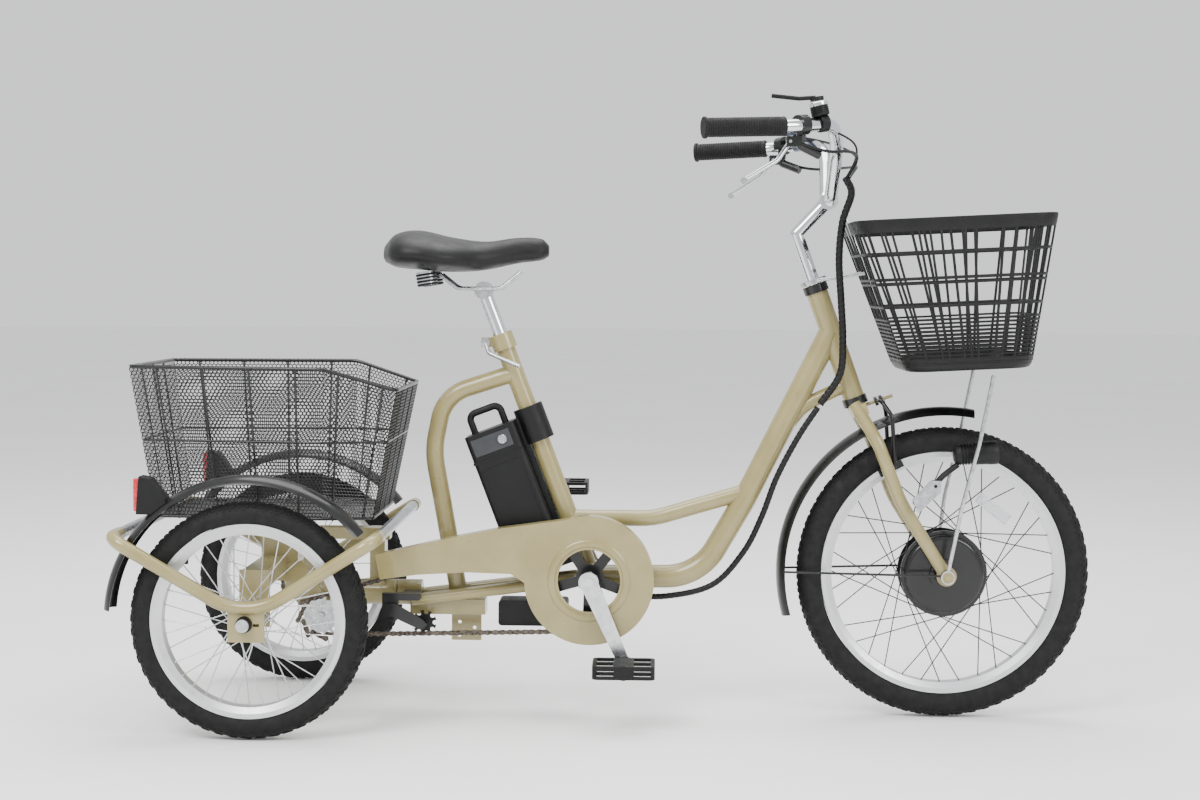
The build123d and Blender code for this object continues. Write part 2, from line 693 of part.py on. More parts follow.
def make_guards():
    x, z = rear_axle_x, rear_tyre_r
    guards, bars = [], []
    for side in (-1, 1):
        tube = pipe(guard_route(side), [26.0, 110.0, 26.0], guard_d, guard_wall)
        core = pipe(guard_route(side), [26.0, 110.0, 26.0], guard_d - 2 * guard_wall)
        low, high = sorted((side * (guard_y - 2.5), side * (guard_y + 2.5)))
        ear = slab((x - 27.0, x + 32.0), (low, high), (z - 29.0, z + 26.0)) - core
        slot = slab((x + 14.0, x + 24.0), (low - 5.0, high + 5.0), (z - 4.0, z + 1.0))
        guards.append(fused(tube, ear - slot) - across(x, z, -320.0, 320.0, axle_d / 2))
        end = side * (guard_y + 20.0)
        stub_low, stub_high = sorted((side * (inner_plate_y - 12.0), end))
        bars.append(across(x, z, stub_low, stub_high, axle_d / 2) + across(x, z, *sorted((side * (guard_y + 2.5), end)), 10.5))
    for bar_x in (cross_front_x, cross_rear_x):
        bars.append(across(bar_x, cross_z, -guard_end_y - 18.0, guard_end_y + 18.0, cross_d / 2))
    parts["guard_tubes"] = group(*guards)
    parts["rear_bars"] = group(*bars)


def make_rear_trim():
    radius = rear_tyre_r + rear_fender_gap
    strips, lamps = [], []
    for side in (-1, 1):
        y = side * track_half
        strips.append(make_fender(radius, 24.0, rear_axle_x, rear_tyre_r, y, 38.0, 176.0))
        wedge = plate([(-753.0, 428.0), (-764.0, 366.0), (-748.0, 364.0), (-713.0, 399.0)], y - 16.0, y + 16.0)
        foot = slab((-752.0, -740.0), (y - 8.0, y + 8.0), (350.0, 380.0))
        tyre_side = across(rear_axle_x, rear_tyre_r, y - 60.0, y + 60.0, radius)
        lamps.append(fused(wedge, foot) - tyre_side)
    parts["rear_fenders"] = group(*strips)
    parts["tail_lamps"] = group(*lamps)


def hexagon(rear, mid, front, half_rear, half_mid, z):
    outline = [(rear, -half_rear), (mid, -half_mid), (front, -half_rear)]
    outline += [(front, half_rear), (mid, half_mid), (rear, half_rear)]
    return Plane.XY.offset(z) * make_face(Polyline(*outline, close=True))


def make_rear_basket():
    """The expanded metal basket: a tapering hexagon, open at the top, with a rim that dips in front."""
    w, top, floor = basket_wall, rear_basket_rim_z, rear_basket_floor_z
    outer = loft([
        hexagon(-765.0, -480.0, -398.0, 128.0, 148.0, floor),
        hexagon(-804.0, -472.0, -347.0, 152.0, 193.0, top),
    ])
    inner = loft([
        hexagon(-765.0 + w, -480.0, -398.0 - w, 128.0 - w, 148.0 - w, floor + w),
        hexagon(-804.0 + w, -472.0, -347.0 - w, 152.0 - w, 193.0 - w, top + 0.1),
    ])
    dip = plate([(-472.0, top + 1.0), (-340.0, top + 1.0), (-340.0, top - 36.0)], -300.0, 300.0)
    parts["rear_basket"] = outer - inner - dip


def make_jackshaft(sprocket_r):
    x, z = jackshaft_x, jackshaft_z
    bar = across(x, z, chain_y - 8.0, second_chain_y + 6.0, jackshaft_d / 2)
    first, _ = tooth_wheel(sprocket_teeth, 2.5, jackshaft_d / 2, x, z, chain_y)
    second, _ = tooth_wheel(sprocket_teeth, 2.5, jackshaft_d / 2, x, z, second_chain_y)
    parts["jackshaft"] = group(bar, first, second)
    wheel, _ = tooth_wheel(sprocket_teeth, 2.5, axle_d / 2 + running_gap, rear_axle_x, rear_tyre_r, second_chain_y)
    parts["axle_sprocket"] = wheel


def make_tensioner():
    """A sprung arm that carries the jockey pulley, on a bracket under the frame's beam."""
    x, z = tensioner_x, tensioner_z
    block = slab((x - 14.0, x + 30.0), (-66.0, -54.0), (z + 14.0, z + 26.0))
    ear = slab((x - 14.0, x + 14.0), (-66.0, -61.0), (z - 14.0, z + 26.0))
    link = slab((x + 20.0, x + 50.0), (-66.0, -18.0), (z + 14.0, z + 26.0))
    pin = across(x, z, -72.0, -61.0, 4.0)
    parts["tensioner_bracket"] = fused(block, ear, link, pin) - stays_core() - make_beam() - make_pivot_shaft()
    arm = plate(
        [(x - 8.0, z - 8.0), (x - 8.0, z + 8.0), (x + 8.0, z + 10.0), (pulley_x, pulley_z + 9.0), (pulley_x + 8.0, pulley_z)]
        + [(pulley_x, pulley_z - 8.0), (pulley_x - 10.0, pulley_z - 6.0)],
        -71.0,
        -67.0,
    )
    pin_hole = across(x, z, -80.0, -60.0, 4.0 + running_gap)
    pulley_pin = across(pulley_x, pulley_z, -71.0, chain_y + 8.0, 4.0)
    parts["tensioner_arm"] = fused(arm, pulley_pin) - pin_hole
    jockey, _ = tooth_wheel(9, 2.5, 4.0 + running_gap, pulley_x, pulley_z, chain_y)
    parts["tensioner_pulley"] = jockey


# Steering


bar_route_half = [(364.0, 45.0, 888.0), (368.0, 110.0, 975.0), (352.0, 200.0, 1003.0), (285.0, 252.0, 994.0)]
bar_end = (145.0, bar_half_width, 988.0)
bar_bends_half = [28.0, 80.0, 70.0, 90.0]
blade_route = [(411.0, 30.0, 541.0), (449.0, 56.0, 478.0), (490.0, 56.0, 375.0), (front_axle_x, 56.0, 251.0)]


def flip(point):
    return (point[0], -point[1], point[2])


def make_bar():
    left = [bar_end] + bar_route_half[::-1]
    route = left + [flip(point) for point in left[::-1]]
    bends = bar_bends_half[::-1] + bar_bends_half
    parts["handlebar"] = pipe(route, bends, bar_d, tube_wall)
    return pipe(route, bends, bar_d)


def make_fork():
    steerer = rod(axis_point(head_bottom_z - 22.0), axis_point(head_top_z + 14.0), steerer_d)
    bore = rod(axis_point(head_bottom_z + 60.0), axis_point(head_top_z + 40.0), stem_d + 2 * running_gap)
    crown_base = Plane(origin=axis_point(crown_z), x_dir=(0, 1, 0), z_dir=(-sin(radians(head_angle)), 0, cos(radians(head_angle))))
    crown = crown_base * Box(82.0, 26.0, 20.0)
    blade = pipe(blade_route, [60.0, 200.0], blade_d)
    axle_room = across(front_axle_x, front_tyre_r, -46.0, 46.0, 60.0)
    tip = across(front_axle_x, front_tyre_r, 53.0, 58.0, 17.0)
    blades = fused(blade, tip, mirror_y(blade), mirror_y(tip)) - axle_room
    axle_hole = across(front_axle_x, front_tyre_r, -90.0, 90.0, axle_d / 2)
    axle = across(front_axle_x, front_tyre_r, -80.0, 80.0, axle_d / 2)
    nuts = [across(front_axle_x, front_tyre_r, *sorted((side * 69.7, side * 77.0)), 9.0) for side in (-1, 1)]
    cup_room = make_cup(head_bottom_z, -1.0)
    body = fused(steerer, crown, blades) - bore - axle_hole - cup_room
    bolt = rod(bolt_point(427.0), bolt_point(479.0), 6.0) - body
    parts["fork"] = group(body, fused(axle, *nuts) - blades, bolt)


def make_stem(bar):
    kink = axis_point(stem_kink_z)
    clamp_point = (bar_clamp_x, 0, bar_clamp_z)
    quill = rod(axis_point(head_bottom_z + 90.0), kink, stem_d)
    reach = rod(kink, clamp_point, stem_d)
    knuckle = Pos(*kink) * Sphere(stem_d / 2)
    clamp = across(bar_clamp_x, bar_clamp_z, -18.0, 18.0, 16.0)
    parts["stem"] = fused(quill, knuckle, reach, clamp) - bar


def make_grips(bar):
    end, last = Vector(*bar_end), Vector(*bar_route_half[-1])
    along = (last - end).normalized()
    grip = rod(end - along * 3.0, end + along * grip_length, grip_d)
    flange = rod(end - along * 3.0, end + along * 3.0, grip_d + 4.0)
    grip = grip + flange
    parts["grips"] = group(grip - bar, mirror_y(grip) - bar)


def make_bar_fittings(bar):
    """Brake brackets on both sides, the bell on the right and the switch panel on the left."""
    ring_low, ring_high = (306.0, 232.0, 998.0), (293.0, 242.0, 996.0)
    ring = rod(ring_low, ring_high, 33.0)
    body = pipe([(300.0, 234.0, 985.0), (297.0, 226.0, 966.0), (330.0, 206.0, 952.0)], [9.0], 15.0)
    ears = slab((276.0, 300.0), (217.0, 243.0), (963.0, 979.0))
    slot = slab((262.0, 292.0), (223.6, 238.4), (955.0, 990.0))
    pin_bore = rod(lever_pin(0.0, 20.0), lever_pin(0.0, -20.0), 5.0 + 2 * running_gap)
    bracket = fused(ring, body, ears) - slot - pin_bore - bar
    parts["brake_brackets"] = group(bracket, mirror_y(bracket))
    band = rod((338.0, -214.0, 1003.0), (327.0, -221.0, 1001.0), 30.0)
    can = rod((333.0, -220.0, 1004.0), (326.0, -220.0, 1036.0), 30.0)
    parts["bell"] = fused(band, can) - bar
    panel = Pos(300.0, 212.0, 1022.0) * Rot(0, -4.0, 38.0) * Box(54.0, 34.0, 15.0)
    strap = rod((338.0, 214.0, 1003.0), (322.0, 225.0, 1001.0), 30.0)
    parts["assist_panel"] = fused(fillet(panel.edges(), 3.0), strap) - bar


def lever_pin(ahead=0.0, out=0.0):
    return (lever_x + ahead, lever_y + out, lever_z)


def make_brake_levers():
    blade_points = [lever_pin(), (262.0, 241.0, 941.0), (206.0, 262.0, 906.0)]
    blade = pipe(blade_points, [30.0], 8.0)
    boss = rod(lever_pin(0.0, -5.0), lever_pin(0.0, 5.0), 13.0)
    pin = rod(lever_pin(0.0, -12.0), lever_pin(0.0, 12.0), 5.0)
    tip = across(208.0, 907.2, 256.0, 267.0, 5.4)
    lever = fused(blade, boss, tip, pin)
    parts["brake_lever_left"] = lever
    parts["brake_lever_right"] = mirror_y(lever)


def make_bell_lever():
    arm = pipe([(322.0, -220.0, 1042.0), (296.0, -222.0, 1040.0), (252.0, -226.0, 1044.0)], [12.0], 7.0)
    hub = rod((325.0, -220.0, 1037.0), (324.0, -220.0, 1043.0), 22.0)
    parts["bell_lever"] = fused(arm, hub)


def bolt_point(x):
    """A point on the calliper's pivot bolt, which runs forward and up from the crown."""
    return (x, 0, 545.0 + (x - 451.0) * tan(radians(head_angle)))


def make_front_brake():
    """Calliper arms each side of the wheel, hung from a bolt ahead of the crown."""
    for name, side in (("right", -1), ("left", 1)):
        y = 46.0
        forward = 0.0 if side < 0 else 8.0
        top_x, top_z = 451.0 + forward, bolt_point(451.0 + forward)[2]
        points = [(top_x, 0.0, top_z), (top_x + 6.0, y * 0.7, top_z + 2.0), (474.0, y, 522.0), (480.0, y, 432.0)]
        arm = pipe(points, [14.0, 24.0], 7.0)
        boss = rod((top_x - 2.6, 0, top_z - 1.0), (top_x + 2.6, 0, top_z + 1.0), 16.0)
        lean = Rot(0, 63.0 - 90.0, 0)
        pad = Pos(476.0, rim_track + 6.5, 431.0) * lean * Box(44.0, 9.0, 11.0)
        stud = across(479.0, 433.0, rim_track + 10.0, y, 3.5)
        whole = fused(arm, boss, pad, stud) - rod(bolt_point(400.0), bolt_point(500.0), 6.0 + 2 * running_gap)
        parts["brake_arm_" + name] = whole if side > 0 else mirror_y(whole)


def make_front_trim():
    radius = front_tyre_r + front_fender_gap
    x, z = front_axle_x, front_tyre_r
    strip = make_fender(radius, 27.0, x, z, 0.0, 80.0, 196.0)
    tail = (x - radius + 12.0, 27.0, z)
    stay = rod((x - 11.0, 69.2, z + 2.0), tail, 4.0)
    eye = across(x, z, 67.1, 69.6, 12.0) - across(x, z, 60.0, 80.0, axle_d / 2)
    stay = stay + eye
    parts["front_fender"] = group(strip, stay - strip, mirror_y(stay) - strip)
    ring = rod(axis_point(head_top_z + 15.5), axis_point(head_top_z + 22.0), 46.0)
    ring -= rod(axis_point(head_top_z), axis_point(head_top_z + 40.0), stem_d)
    arm = pipe([axis_point(head_top_z + 20.0, 18.0), (384.0, 21.0, 757.0), (430.0, 22.0, 765.0)], [60.0], 6.0)
    hook = pipe([(436.0, 22.0, 745.0), (424.0, 22.0, 780.0), (393.0, 22.0, 856.0)], [60.0], 6.0)
    leg = pipe(leg_route, [60.0, 60.0], 7.0)
    foot = across(x, z, 71.5, 75.5, 12.0) - across(x, z, 60.0, 80.0, 9.2)
    leg_foot = fused(leg, foot - across(x, z, 60.0, 80.0, 9.2))
    side = fused(arm, hook)
    frame = fused(ring, side, mirror_y(side))
    strips = parts["front_fender"]
    basket = parts["front_basket"]
    bracket = [frame - basket, leg_foot - basket - strips, mirror_y(leg_foot) - basket - strips]
    bracket.append(make_headlamp())
    whole = group(*bracket)
    parts["basket_bracket"] = group(*[solid for solid in whole.solids() if solid.volume > smallest_solid])


def make_front_basket():
    w, top, floor = basket_wall, front_basket_rim_z, front_basket_floor_z
    outer = loft([basket_ring(595.0, 214.0, 236.0, floor, 0.0), basket_ring(563.0, 338.0, 330.0, top, 0.0)])
    inner = loft([basket_ring(595.0, 214.0, 236.0, floor + w, w), basket_ring(563.0, 338.0, 330.0, top + 0.1, w)])
    parts["front_basket"] = outer - inner


def basket_ring(x, length, width, z, inset):
    face = Pos(x, 0, z) * Rot(0, -3.0, 0) * RectangleRounded(length - 2 * inset, width - 2 * inset, 45.0)
    return face


def make_headlamp():
    body = rod((574.0, -76.0, 460.0), (630.0, -76.0, 464.0), 38.0)
    lens = rod((630.0, -76.0, 464.0), (648.0, -76.0, 465.3), 40.0)
    neck = rod((582.0, -76.0, 444.0), (548.0, -76.0, 412.0), 10.0)
    pivot = across(543.0, 408.0, -82.0, -70.0, 9.0)
    pin = across(543.0, 408.0, -90.0, -70.0, 3.0)
    parts["headlamp"] = fused(body, lens, neck, pivot, pin)
    shelf = plate([(505.0, 385.0), (515.0, 362.0), (552.0, 398.0), (552.0, 417.0), (534.0, 417.0)], -91.0, -87.0)
    link = across(513.0, 378.0, -91.0, -63.0, 5.0)
    core = pipe(blade_route, [60.0, 200.0], blade_d)
    hole = across(543.0, 408.0, -100.0, -60.0, 3.0 + running_gap)
    return fused(shelf, link) - mirror_y(core) - hole


def make_looms():
    steer = pipe(steer_loom_route, steer_loom_bends, steer_loom_d)
    frame = pipe(frame_loom_route, frame_loom_bends, frame_loom_d)
    parts["steer_loom"] = steer
    parts["frame_loom"] = frame


def main():
    os.makedirs("parts", exist_ok=True)
    for name in os.listdir("parts"):
        os.remove(os.path.join("parts", name))
    make_front_frame()
    make_seat_frame()
    make_chain_case()
    make_battery()
    make_controller()
    make_seat()
    make_seat_lever()
    ring_r = make_chain_ring()
    make_cranks()
    make_pedals()
    sprocket_r = chain_pitch / (2 * sin(radians(180.0 / sprocket_teeth)))
    make_chains(ring_r, sprocket_r)
    make_jackshaft(sprocket_r)
    make_tensioner()
    make_carriage()
    make_guards()
    make_rear_trim()
    make_rear_basket()
    bar = make_bar()
    make_fork()
    make_stem(bar)
    make_grips(bar)
    make_bar_fittings(bar)
    make_brake_levers()
    make_bell_lever()
    make_front_brake()
    make_front_basket()
    make_front_trim()
    make_looms()
    make_front_wheel()
    make_rear_wheels()
    for name, shape in parts.items():
        export_step(shape, os.path.join("parts", name + ".step"))


main()
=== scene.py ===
import bpy
import bmesh
import math
from mathutils import Matrix, Vector


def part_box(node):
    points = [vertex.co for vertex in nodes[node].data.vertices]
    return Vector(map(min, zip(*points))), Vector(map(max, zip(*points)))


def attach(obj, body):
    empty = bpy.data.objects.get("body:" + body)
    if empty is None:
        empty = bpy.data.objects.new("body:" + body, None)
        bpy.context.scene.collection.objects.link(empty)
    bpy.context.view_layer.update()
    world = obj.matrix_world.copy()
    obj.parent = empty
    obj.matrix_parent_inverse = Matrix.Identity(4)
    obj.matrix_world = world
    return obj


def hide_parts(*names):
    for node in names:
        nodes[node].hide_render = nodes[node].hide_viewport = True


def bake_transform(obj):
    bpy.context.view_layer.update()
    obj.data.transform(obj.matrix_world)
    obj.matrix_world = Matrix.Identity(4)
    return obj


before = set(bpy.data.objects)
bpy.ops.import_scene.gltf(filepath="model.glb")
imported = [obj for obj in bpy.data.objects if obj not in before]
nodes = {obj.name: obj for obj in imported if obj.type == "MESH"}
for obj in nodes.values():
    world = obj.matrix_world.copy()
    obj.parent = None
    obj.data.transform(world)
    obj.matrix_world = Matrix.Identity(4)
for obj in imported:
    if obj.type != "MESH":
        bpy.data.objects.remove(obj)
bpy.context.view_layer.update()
scene = bpy.context.scene
mm = 0.001
print("frame loaded:", len(nodes), "nodes")

# Places that the pieces share, in millimetres, the same as the CAD's
axles = {"front": (569.0, 0.0, 251.0), "right": (-583.0, -245.0, 194.0), "left": (-583.0, 245.0, 194.0)}
bracketX, bracketZ = -38.0, 240.0
headLean = math.radians(20.0)


def linear(hexText):
    # sRGB hex to linear colour.
    values = [int(hexText[i:i + 2], 16) / 255 for i in (0, 2, 4)]
    return [v / 12.92 if v <= 0.04045 else ((v + 0.055) / 1.055) ** 2.4 for v in values] + [1.0]


def addNode(tree, kind, links=None, **settings):
    node = tree.nodes.new(kind)
    for name, value in settings.items():
        if name.startswith("in_"):
            key = name[3:]
            node.inputs[int(key) if key.isdigit() else key].default_value = value
        else:
            setattr(node, name, value)
    for socket, source in (links or {}).items():
        tree.links.new(source, node.inputs[socket])
    return node


def newMaterial(name, hexBase, roughness, metallic=0.0, ior=1.5):
    material = bpy.data.materials.new(name)
    material.use_nodes = True
    tree = material.node_tree
    shader = tree.nodes["Principled BSDF"]
    shader.inputs["Base Color"].default_value = linear(hexBase)
    shader.inputs["Roughness"].default_value = roughness
    shader.inputs["Metallic"].default_value = metallic
    shader.inputs["IOR"].default_value = ior
    coords = addNode(tree, "ShaderNodeTexCoord")
    return material, tree, shader, coords.outputs["Object"]


def surfaceGrain(tree, shader, coords, sizeMm, height, detail=4.0, kind="ShaderNodeTexNoise"):
    # Fine relief of a real size on the shader's normal.
    scale = 1000.0 / sizeMm
    grain = addNode(tree, kind, {"Vector": coords}, in_Scale=scale)
    if kind == "ShaderNodeTexNoise":
        grain.inputs["Detail"].default_value = detail
    out = grain.outputs["Fac"] if "Fac" in grain.outputs else grain.outputs["Distance"]
    bump = addNode(tree, "ShaderNodeBump", {"Height": out}, in_Strength=height, in_Distance=0.0004)
    tree.links.new(bump.outputs["Normal"], shader.inputs["Normal"])
    return grain


def variedColour(tree, shader, coords, darkHex, lightHex, sizeMm, socket="Base Color"):
    # Slow drift between two shades of the same finish.
    cloud = addNode(tree, "ShaderNodeTexNoise", {"Vector": coords}, in_Scale=1000.0 / sizeMm, in_Detail=3.0)
    ramp = addNode(tree, "ShaderNodeValToRGB", {"Fac": cloud.outputs["Fac"]})
    ramp.color_ramp.elements[0].position = 0.35
    ramp.color_ramp.elements[1].position = 0.65
    ramp.color_ramp.elements[0].color = linear(darkHex)
    ramp.color_ramp.elements[1].color = linear(lightHex)
    tree.links.new(ramp.outputs["Color"], shader.inputs[socket])
    return cloud


def variedRoughness(tree, shader, coords, low, high, sizeMm):
    smudge = addNode(tree, "ShaderNodeTexNoise", {"Vector": coords}, in_Scale=1000.0 / sizeMm, in_Detail=5.0)
    span = addNode(tree, "ShaderNodeMapRange", {"Value": smudge.outputs["Fac"]})
    span.inputs["From Min"].default_value = 0.3
    span.inputs["From Max"].default_value = 0.7
    span.inputs["To Min"].default_value = low
    span.inputs["To Max"].default_value = high
    tree.links.new(span.outputs["Result"], shader.inputs["Roughness"])


# Two-coat khaki enamel: a warm body colour under clear lacquer with a faint orange peel
def khakiEnamel():
    material, tree, shader, coords = newMaterial("khakiEnamel", "8E8254", 0.3)
    variedColour(tree, shader, coords, "8A7E50", "958A5C", 60.0)
    variedRoughness(tree, shader, coords, 0.26, 0.36, 25.0)
    surfaceGrain(tree, shader, coords, 2.2, 0.05)
    shader.inputs["Coat Weight"].default_value = 0.5
    shader.inputs["Coat Roughness"].default_value = 0.06
    return material


# Black stove enamel on steel: deep and half glossy
def blackEnamel():
    material, tree, shader, coords = newMaterial("blackEnamel", "060607", 0.34)
    variedColour(tree, shader, coords, "050506", "0A0A0B", 45.0)
    variedRoughness(tree, shader, coords, 0.28, 0.42, 18.0)
    surfaceGrain(tree, shader, coords, 1.6, 0.06)
    shader.inputs["Coat Weight"].default_value = 0.4
    shader.inputs["Coat Roughness"].default_value = 0.12
    shader.inputs["Specular IOR Level"].default_value = 0.3
    return material


# Bright chrome plate: a mirror with the finest polishing haze
def chromePlate():
    material, tree, shader, coords = newMaterial("chromePlate", "D9DBDE", 0.1, 1.0)
    variedRoughness(tree, shader, coords, 0.07, 0.16, 12.0)
    surfaceGrain(tree, shader, coords, 3.0, 0.02)
    return material


# Polished forged aluminium: bright, with soft rolling highlights
def polishedAluminium():
    material, tree, shader, coords = newMaterial("polishedAluminium", "C9CACC", 0.2, 1.0)
    variedRoughness(tree, shader, coords, 0.14, 0.28, 8.0)
    variedColour(tree, shader, coords, "BFC0C3", "D2D3D5", 14.0)
    surfaceGrain(tree, shader, coords, 0.8, 0.08)
    return material


# Silver anodised rim: pale satin, nearly white in soft light
def anodisedAluminium():
    material, tree, shader, coords = newMaterial("anodisedAluminium", "CFD0D2", 0.36, 0.9)
    variedRoughness(tree, shader, coords, 0.32, 0.44, 10.0)
    surfaceGrain(tree, shader, coords, 0.7, 0.1)
    return material


# Zinc plated steel: grey-silver with a cloudy crystalline cast
def zincSteel():
    material, tree, shader, coords = newMaterial("zincSteel", "B4B6B8", 0.3, 1.0)
    variedColour(tree, shader, coords, "A5A7AA", "C4C6C8", 9.0)
    variedRoughness(tree, shader, coords, 0.22, 0.4, 6.0)
    surfaceGrain(tree, shader, coords, 1.2, 0.06)
    return material


# Oiled chain steel: brown-black plates with bright worn patches
def chainSteel():
    material, tree, shader, coords = newMaterial("chainSteel", "4A433D", 0.42, 1.0)
    variedColour(tree, shader, coords, "3A342F", "6E665D", 5.0)
    variedRoughness(tree, shader, coords, 0.3, 0.55, 3.0)
    surfaceGrain(tree, shader, coords, 0.6, 0.12)
    return material


# Moulded black plastic: dull, with the spark-eroded texture of the tool
def mouldedPlastic():
    material, tree, shader, coords = newMaterial("mouldedPlastic", "070708", 0.48)
    variedColour(tree, shader, coords, "060607", "0C0C0D", 40.0)
    variedRoughness(tree, shader, coords, 0.42, 0.56, 14.0)
    surfaceGrain(tree, shader, coords, 0.9, 0.22)
    shader.inputs["Specular IOR Level"].default_value = 0.3
    return material


# Grey-blue ABS for the switch panel
def greyAbs():
    material, tree, shader, coords = newMaterial("greyAbs", "4B5466", 0.42)
    variedRoughness(tree, shader, coords, 0.36, 0.5, 10.0)
    surfaceGrain(tree, shader, coords, 0.8, 0.15)
    return material


# Grip rubber: matt black that swallows light
def gripRubber():
    material, tree, shader, coords = newMaterial("gripRubber", "060606", 0.62)
    variedRoughness(tree, shader, coords, 0.55, 0.72, 9.0)
    surfaceGrain(tree, shader, coords, 1.4, 0.3, kind="ShaderNodeTexVoronoi")
    shader.inputs["Specular IOR Level"].default_value = 0.3
    return material


# Tyre rubber: charcoal black, dusty between the blocks
def tyreRubber():
    material, tree, shader, coords = newMaterial("tyreRubber", "0A0A0A", 0.7)
    variedColour(tree, shader, coords, "080808", "0F0F0F", 22.0)
    variedRoughness(tree, shader, coords, 0.6, 0.8, 12.0)
    surfaceGrain(tree, shader, coords, 1.1, 0.25)
    shader.inputs["Specular IOR Level"].default_value = 0.3
    return material


# Expanded PVC saddle cover: fine leather grain with a soft sheen
def saddleVinyl():
    material, tree, shader, coords = newMaterial("saddleVinyl", "08080A", 0.44)
    variedColour(tree, shader, coords, "070708", "0C0C0E", 30.0)
    variedRoughness(tree, shader, coords, 0.4, 0.52, 15.0)
    surfaceGrain(tree, shader, coords, 1.6, 0.35, kind="ShaderNodeTexVoronoi")
    shader.inputs["Sheen Weight"].default_value = 0.04
    shader.inputs["Specular IOR Level"].default_value = 0.3
    return material


# Polyethylene spiral wrap and cable jackets: smooth black with a waxy shine
def cableJacket():
    material, tree, shader, coords = newMaterial("cableJacket", "070708", 0.4)
    variedRoughness(tree, shader, coords, 0.32, 0.5, 8.0)
    surfaceGrain(tree, shader, coords, 1.5, 0.12)
    shader.inputs["Specular IOR Level"].default_value = 0.3
    return material


# Red acrylic lens with a prism grid inside
def redLens():
    material, tree, shader, coords = newMaterial("redLens", "B3121B", 0.14, ior=1.49)
    variedColour(tree, shader, coords, "9E0E16", "D0202A", 4.0)
    surfaceGrain(tree, shader, coords, 2.5, 0.5, kind="ShaderNodeTexVoronoi")
    shader.inputs["Coat Weight"].default_value = 0.8
    return material


# Clear polycarbonate: the reflector and the lamp glass
def clearPolycarbonate():
    material, tree, shader, coords = newMaterial("clearPolycarbonate", "E6EAEC", 0.1, ior=1.58)
    surfaceGrain(tree, shader, coords, 3.0, 0.6, kind="ShaderNodeTexVoronoi")
    shader.inputs["Transmission Weight"].default_value = 0.55
    return material


finish = {}
for make in (khakiEnamel, blackEnamel, chromePlate, polishedAluminium, anodisedAluminium, zincSteel, chainSteel,
             mouldedPlastic, greyAbs, gripRubber, tyreRubber, saddleVinyl, cableJacket, redLens,
             clearPolycarbonate):
    material = make()
    finish[material.name] = material

wornBy = {
    "khakiEnamel": "head_tube down_tube frame_struts seat_tube hoop_tube chain_stays pivot_beam chain_case"
                   " carriage_frame guard_tubes fork",
    "blackEnamel": "headset_cups front_fender rear_fenders chain_ring tensioner_bracket tensioner_arm"
                   " brake_arm_right brake_arm_left brake_brackets hub_motor rear_basket",
    "chromePlate": "seat_post stem handlebar",
    "polishedAluminium": "crank_arms brake_lever_right brake_lever_left right_hub left_hub",
    "anodisedAluminium": "front_rim right_rim left_rim",
    "zincSteel": "rear_bars seat_lever basket_bracket saddle_frame jackshaft axle_sprocket",
    "chainSteel": "drive_chain axle_chain",
    "mouldedPlastic": "battery battery_mount controller_box front_basket pedal_right pedal_left"
                      " tensioner_pulley headlamp tail_lamps bell bell_lever",
    "greyAbs": "assist_panel",
    "gripRubber": "grips",
    "tyreRubber": "front_tyre right_tyre left_tyre",
    "saddleVinyl": "saddle",
    "cableJacket": "frame_loom steer_loom",
}
for materialName, nodeNames in wornBy.items():
    for nodeName in nodeNames.split():
        slots = nodes[nodeName].data.materials
        slots.clear()
        slots.append(finish[materialName])
print("materials on every CAD node")


def place(name, mesh, body, material):
    # A new piece from a bmesh or a mesh, riding on a body.
    if isinstance(mesh, bmesh.types.BMesh):
        data = bpy.data.meshes.new(name)
        mesh.to_mesh(data)
        mesh.free()
    else:
        data = mesh
        data.name = name
    piece = bpy.data.objects.new(name, data)
    scene.collection.objects.link(piece)
    data.materials.clear()
    data.materials.append(material)
    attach(piece, body)
    return piece


def smoothFaces(piece, sharpDegrees=35.0):
    piece.data.shade_smooth()
    piece.data.set_sharp_from_angle(angle=math.radians(sharpDegrees))


def pathTube(points, radiusMm, order=3, sides=10, cyclic=False, material=None):
    # A round tube along a smooth line through control points, as a mesh.
    curve = bpy.data.curves.new("path", "CURVE")
    curve.dimensions = "3D"
    spline = curve.splines.new("NURBS" if order > 2 else "POLY")
    spline.points.add(len(points) - 1)
    for target, point in zip(spline.points, points):
        target.co = (point[0] * mm, point[1] * mm, point[2] * mm, 1.0)
    if order > 2:
        spline.order_u = order
        spline.use_endpoint_u = not cyclic
    spline.use_cyclic_u = cyclic
    spline.resolution_u = 8
    curve.bevel_depth = radiusMm * mm
    curve.bevel_resolution = max(1, sides // 4)
    curve.use_fill_caps = not cyclic
    holder = bpy.data.objects.new("path", curve)
    scene.collection.objects.link(holder)
    bpy.context.view_layer.update()
    mesh = bpy.data.meshes.new_from_object(holder.evaluated_get(bpy.context.evaluated_depsgraph_get()))
    bpy.data.objects.remove(holder)
    return mesh


def joined(meshes):
    whole = bmesh.new()
    for mesh in meshes:
        whole.from_mesh(mesh)
    return whole

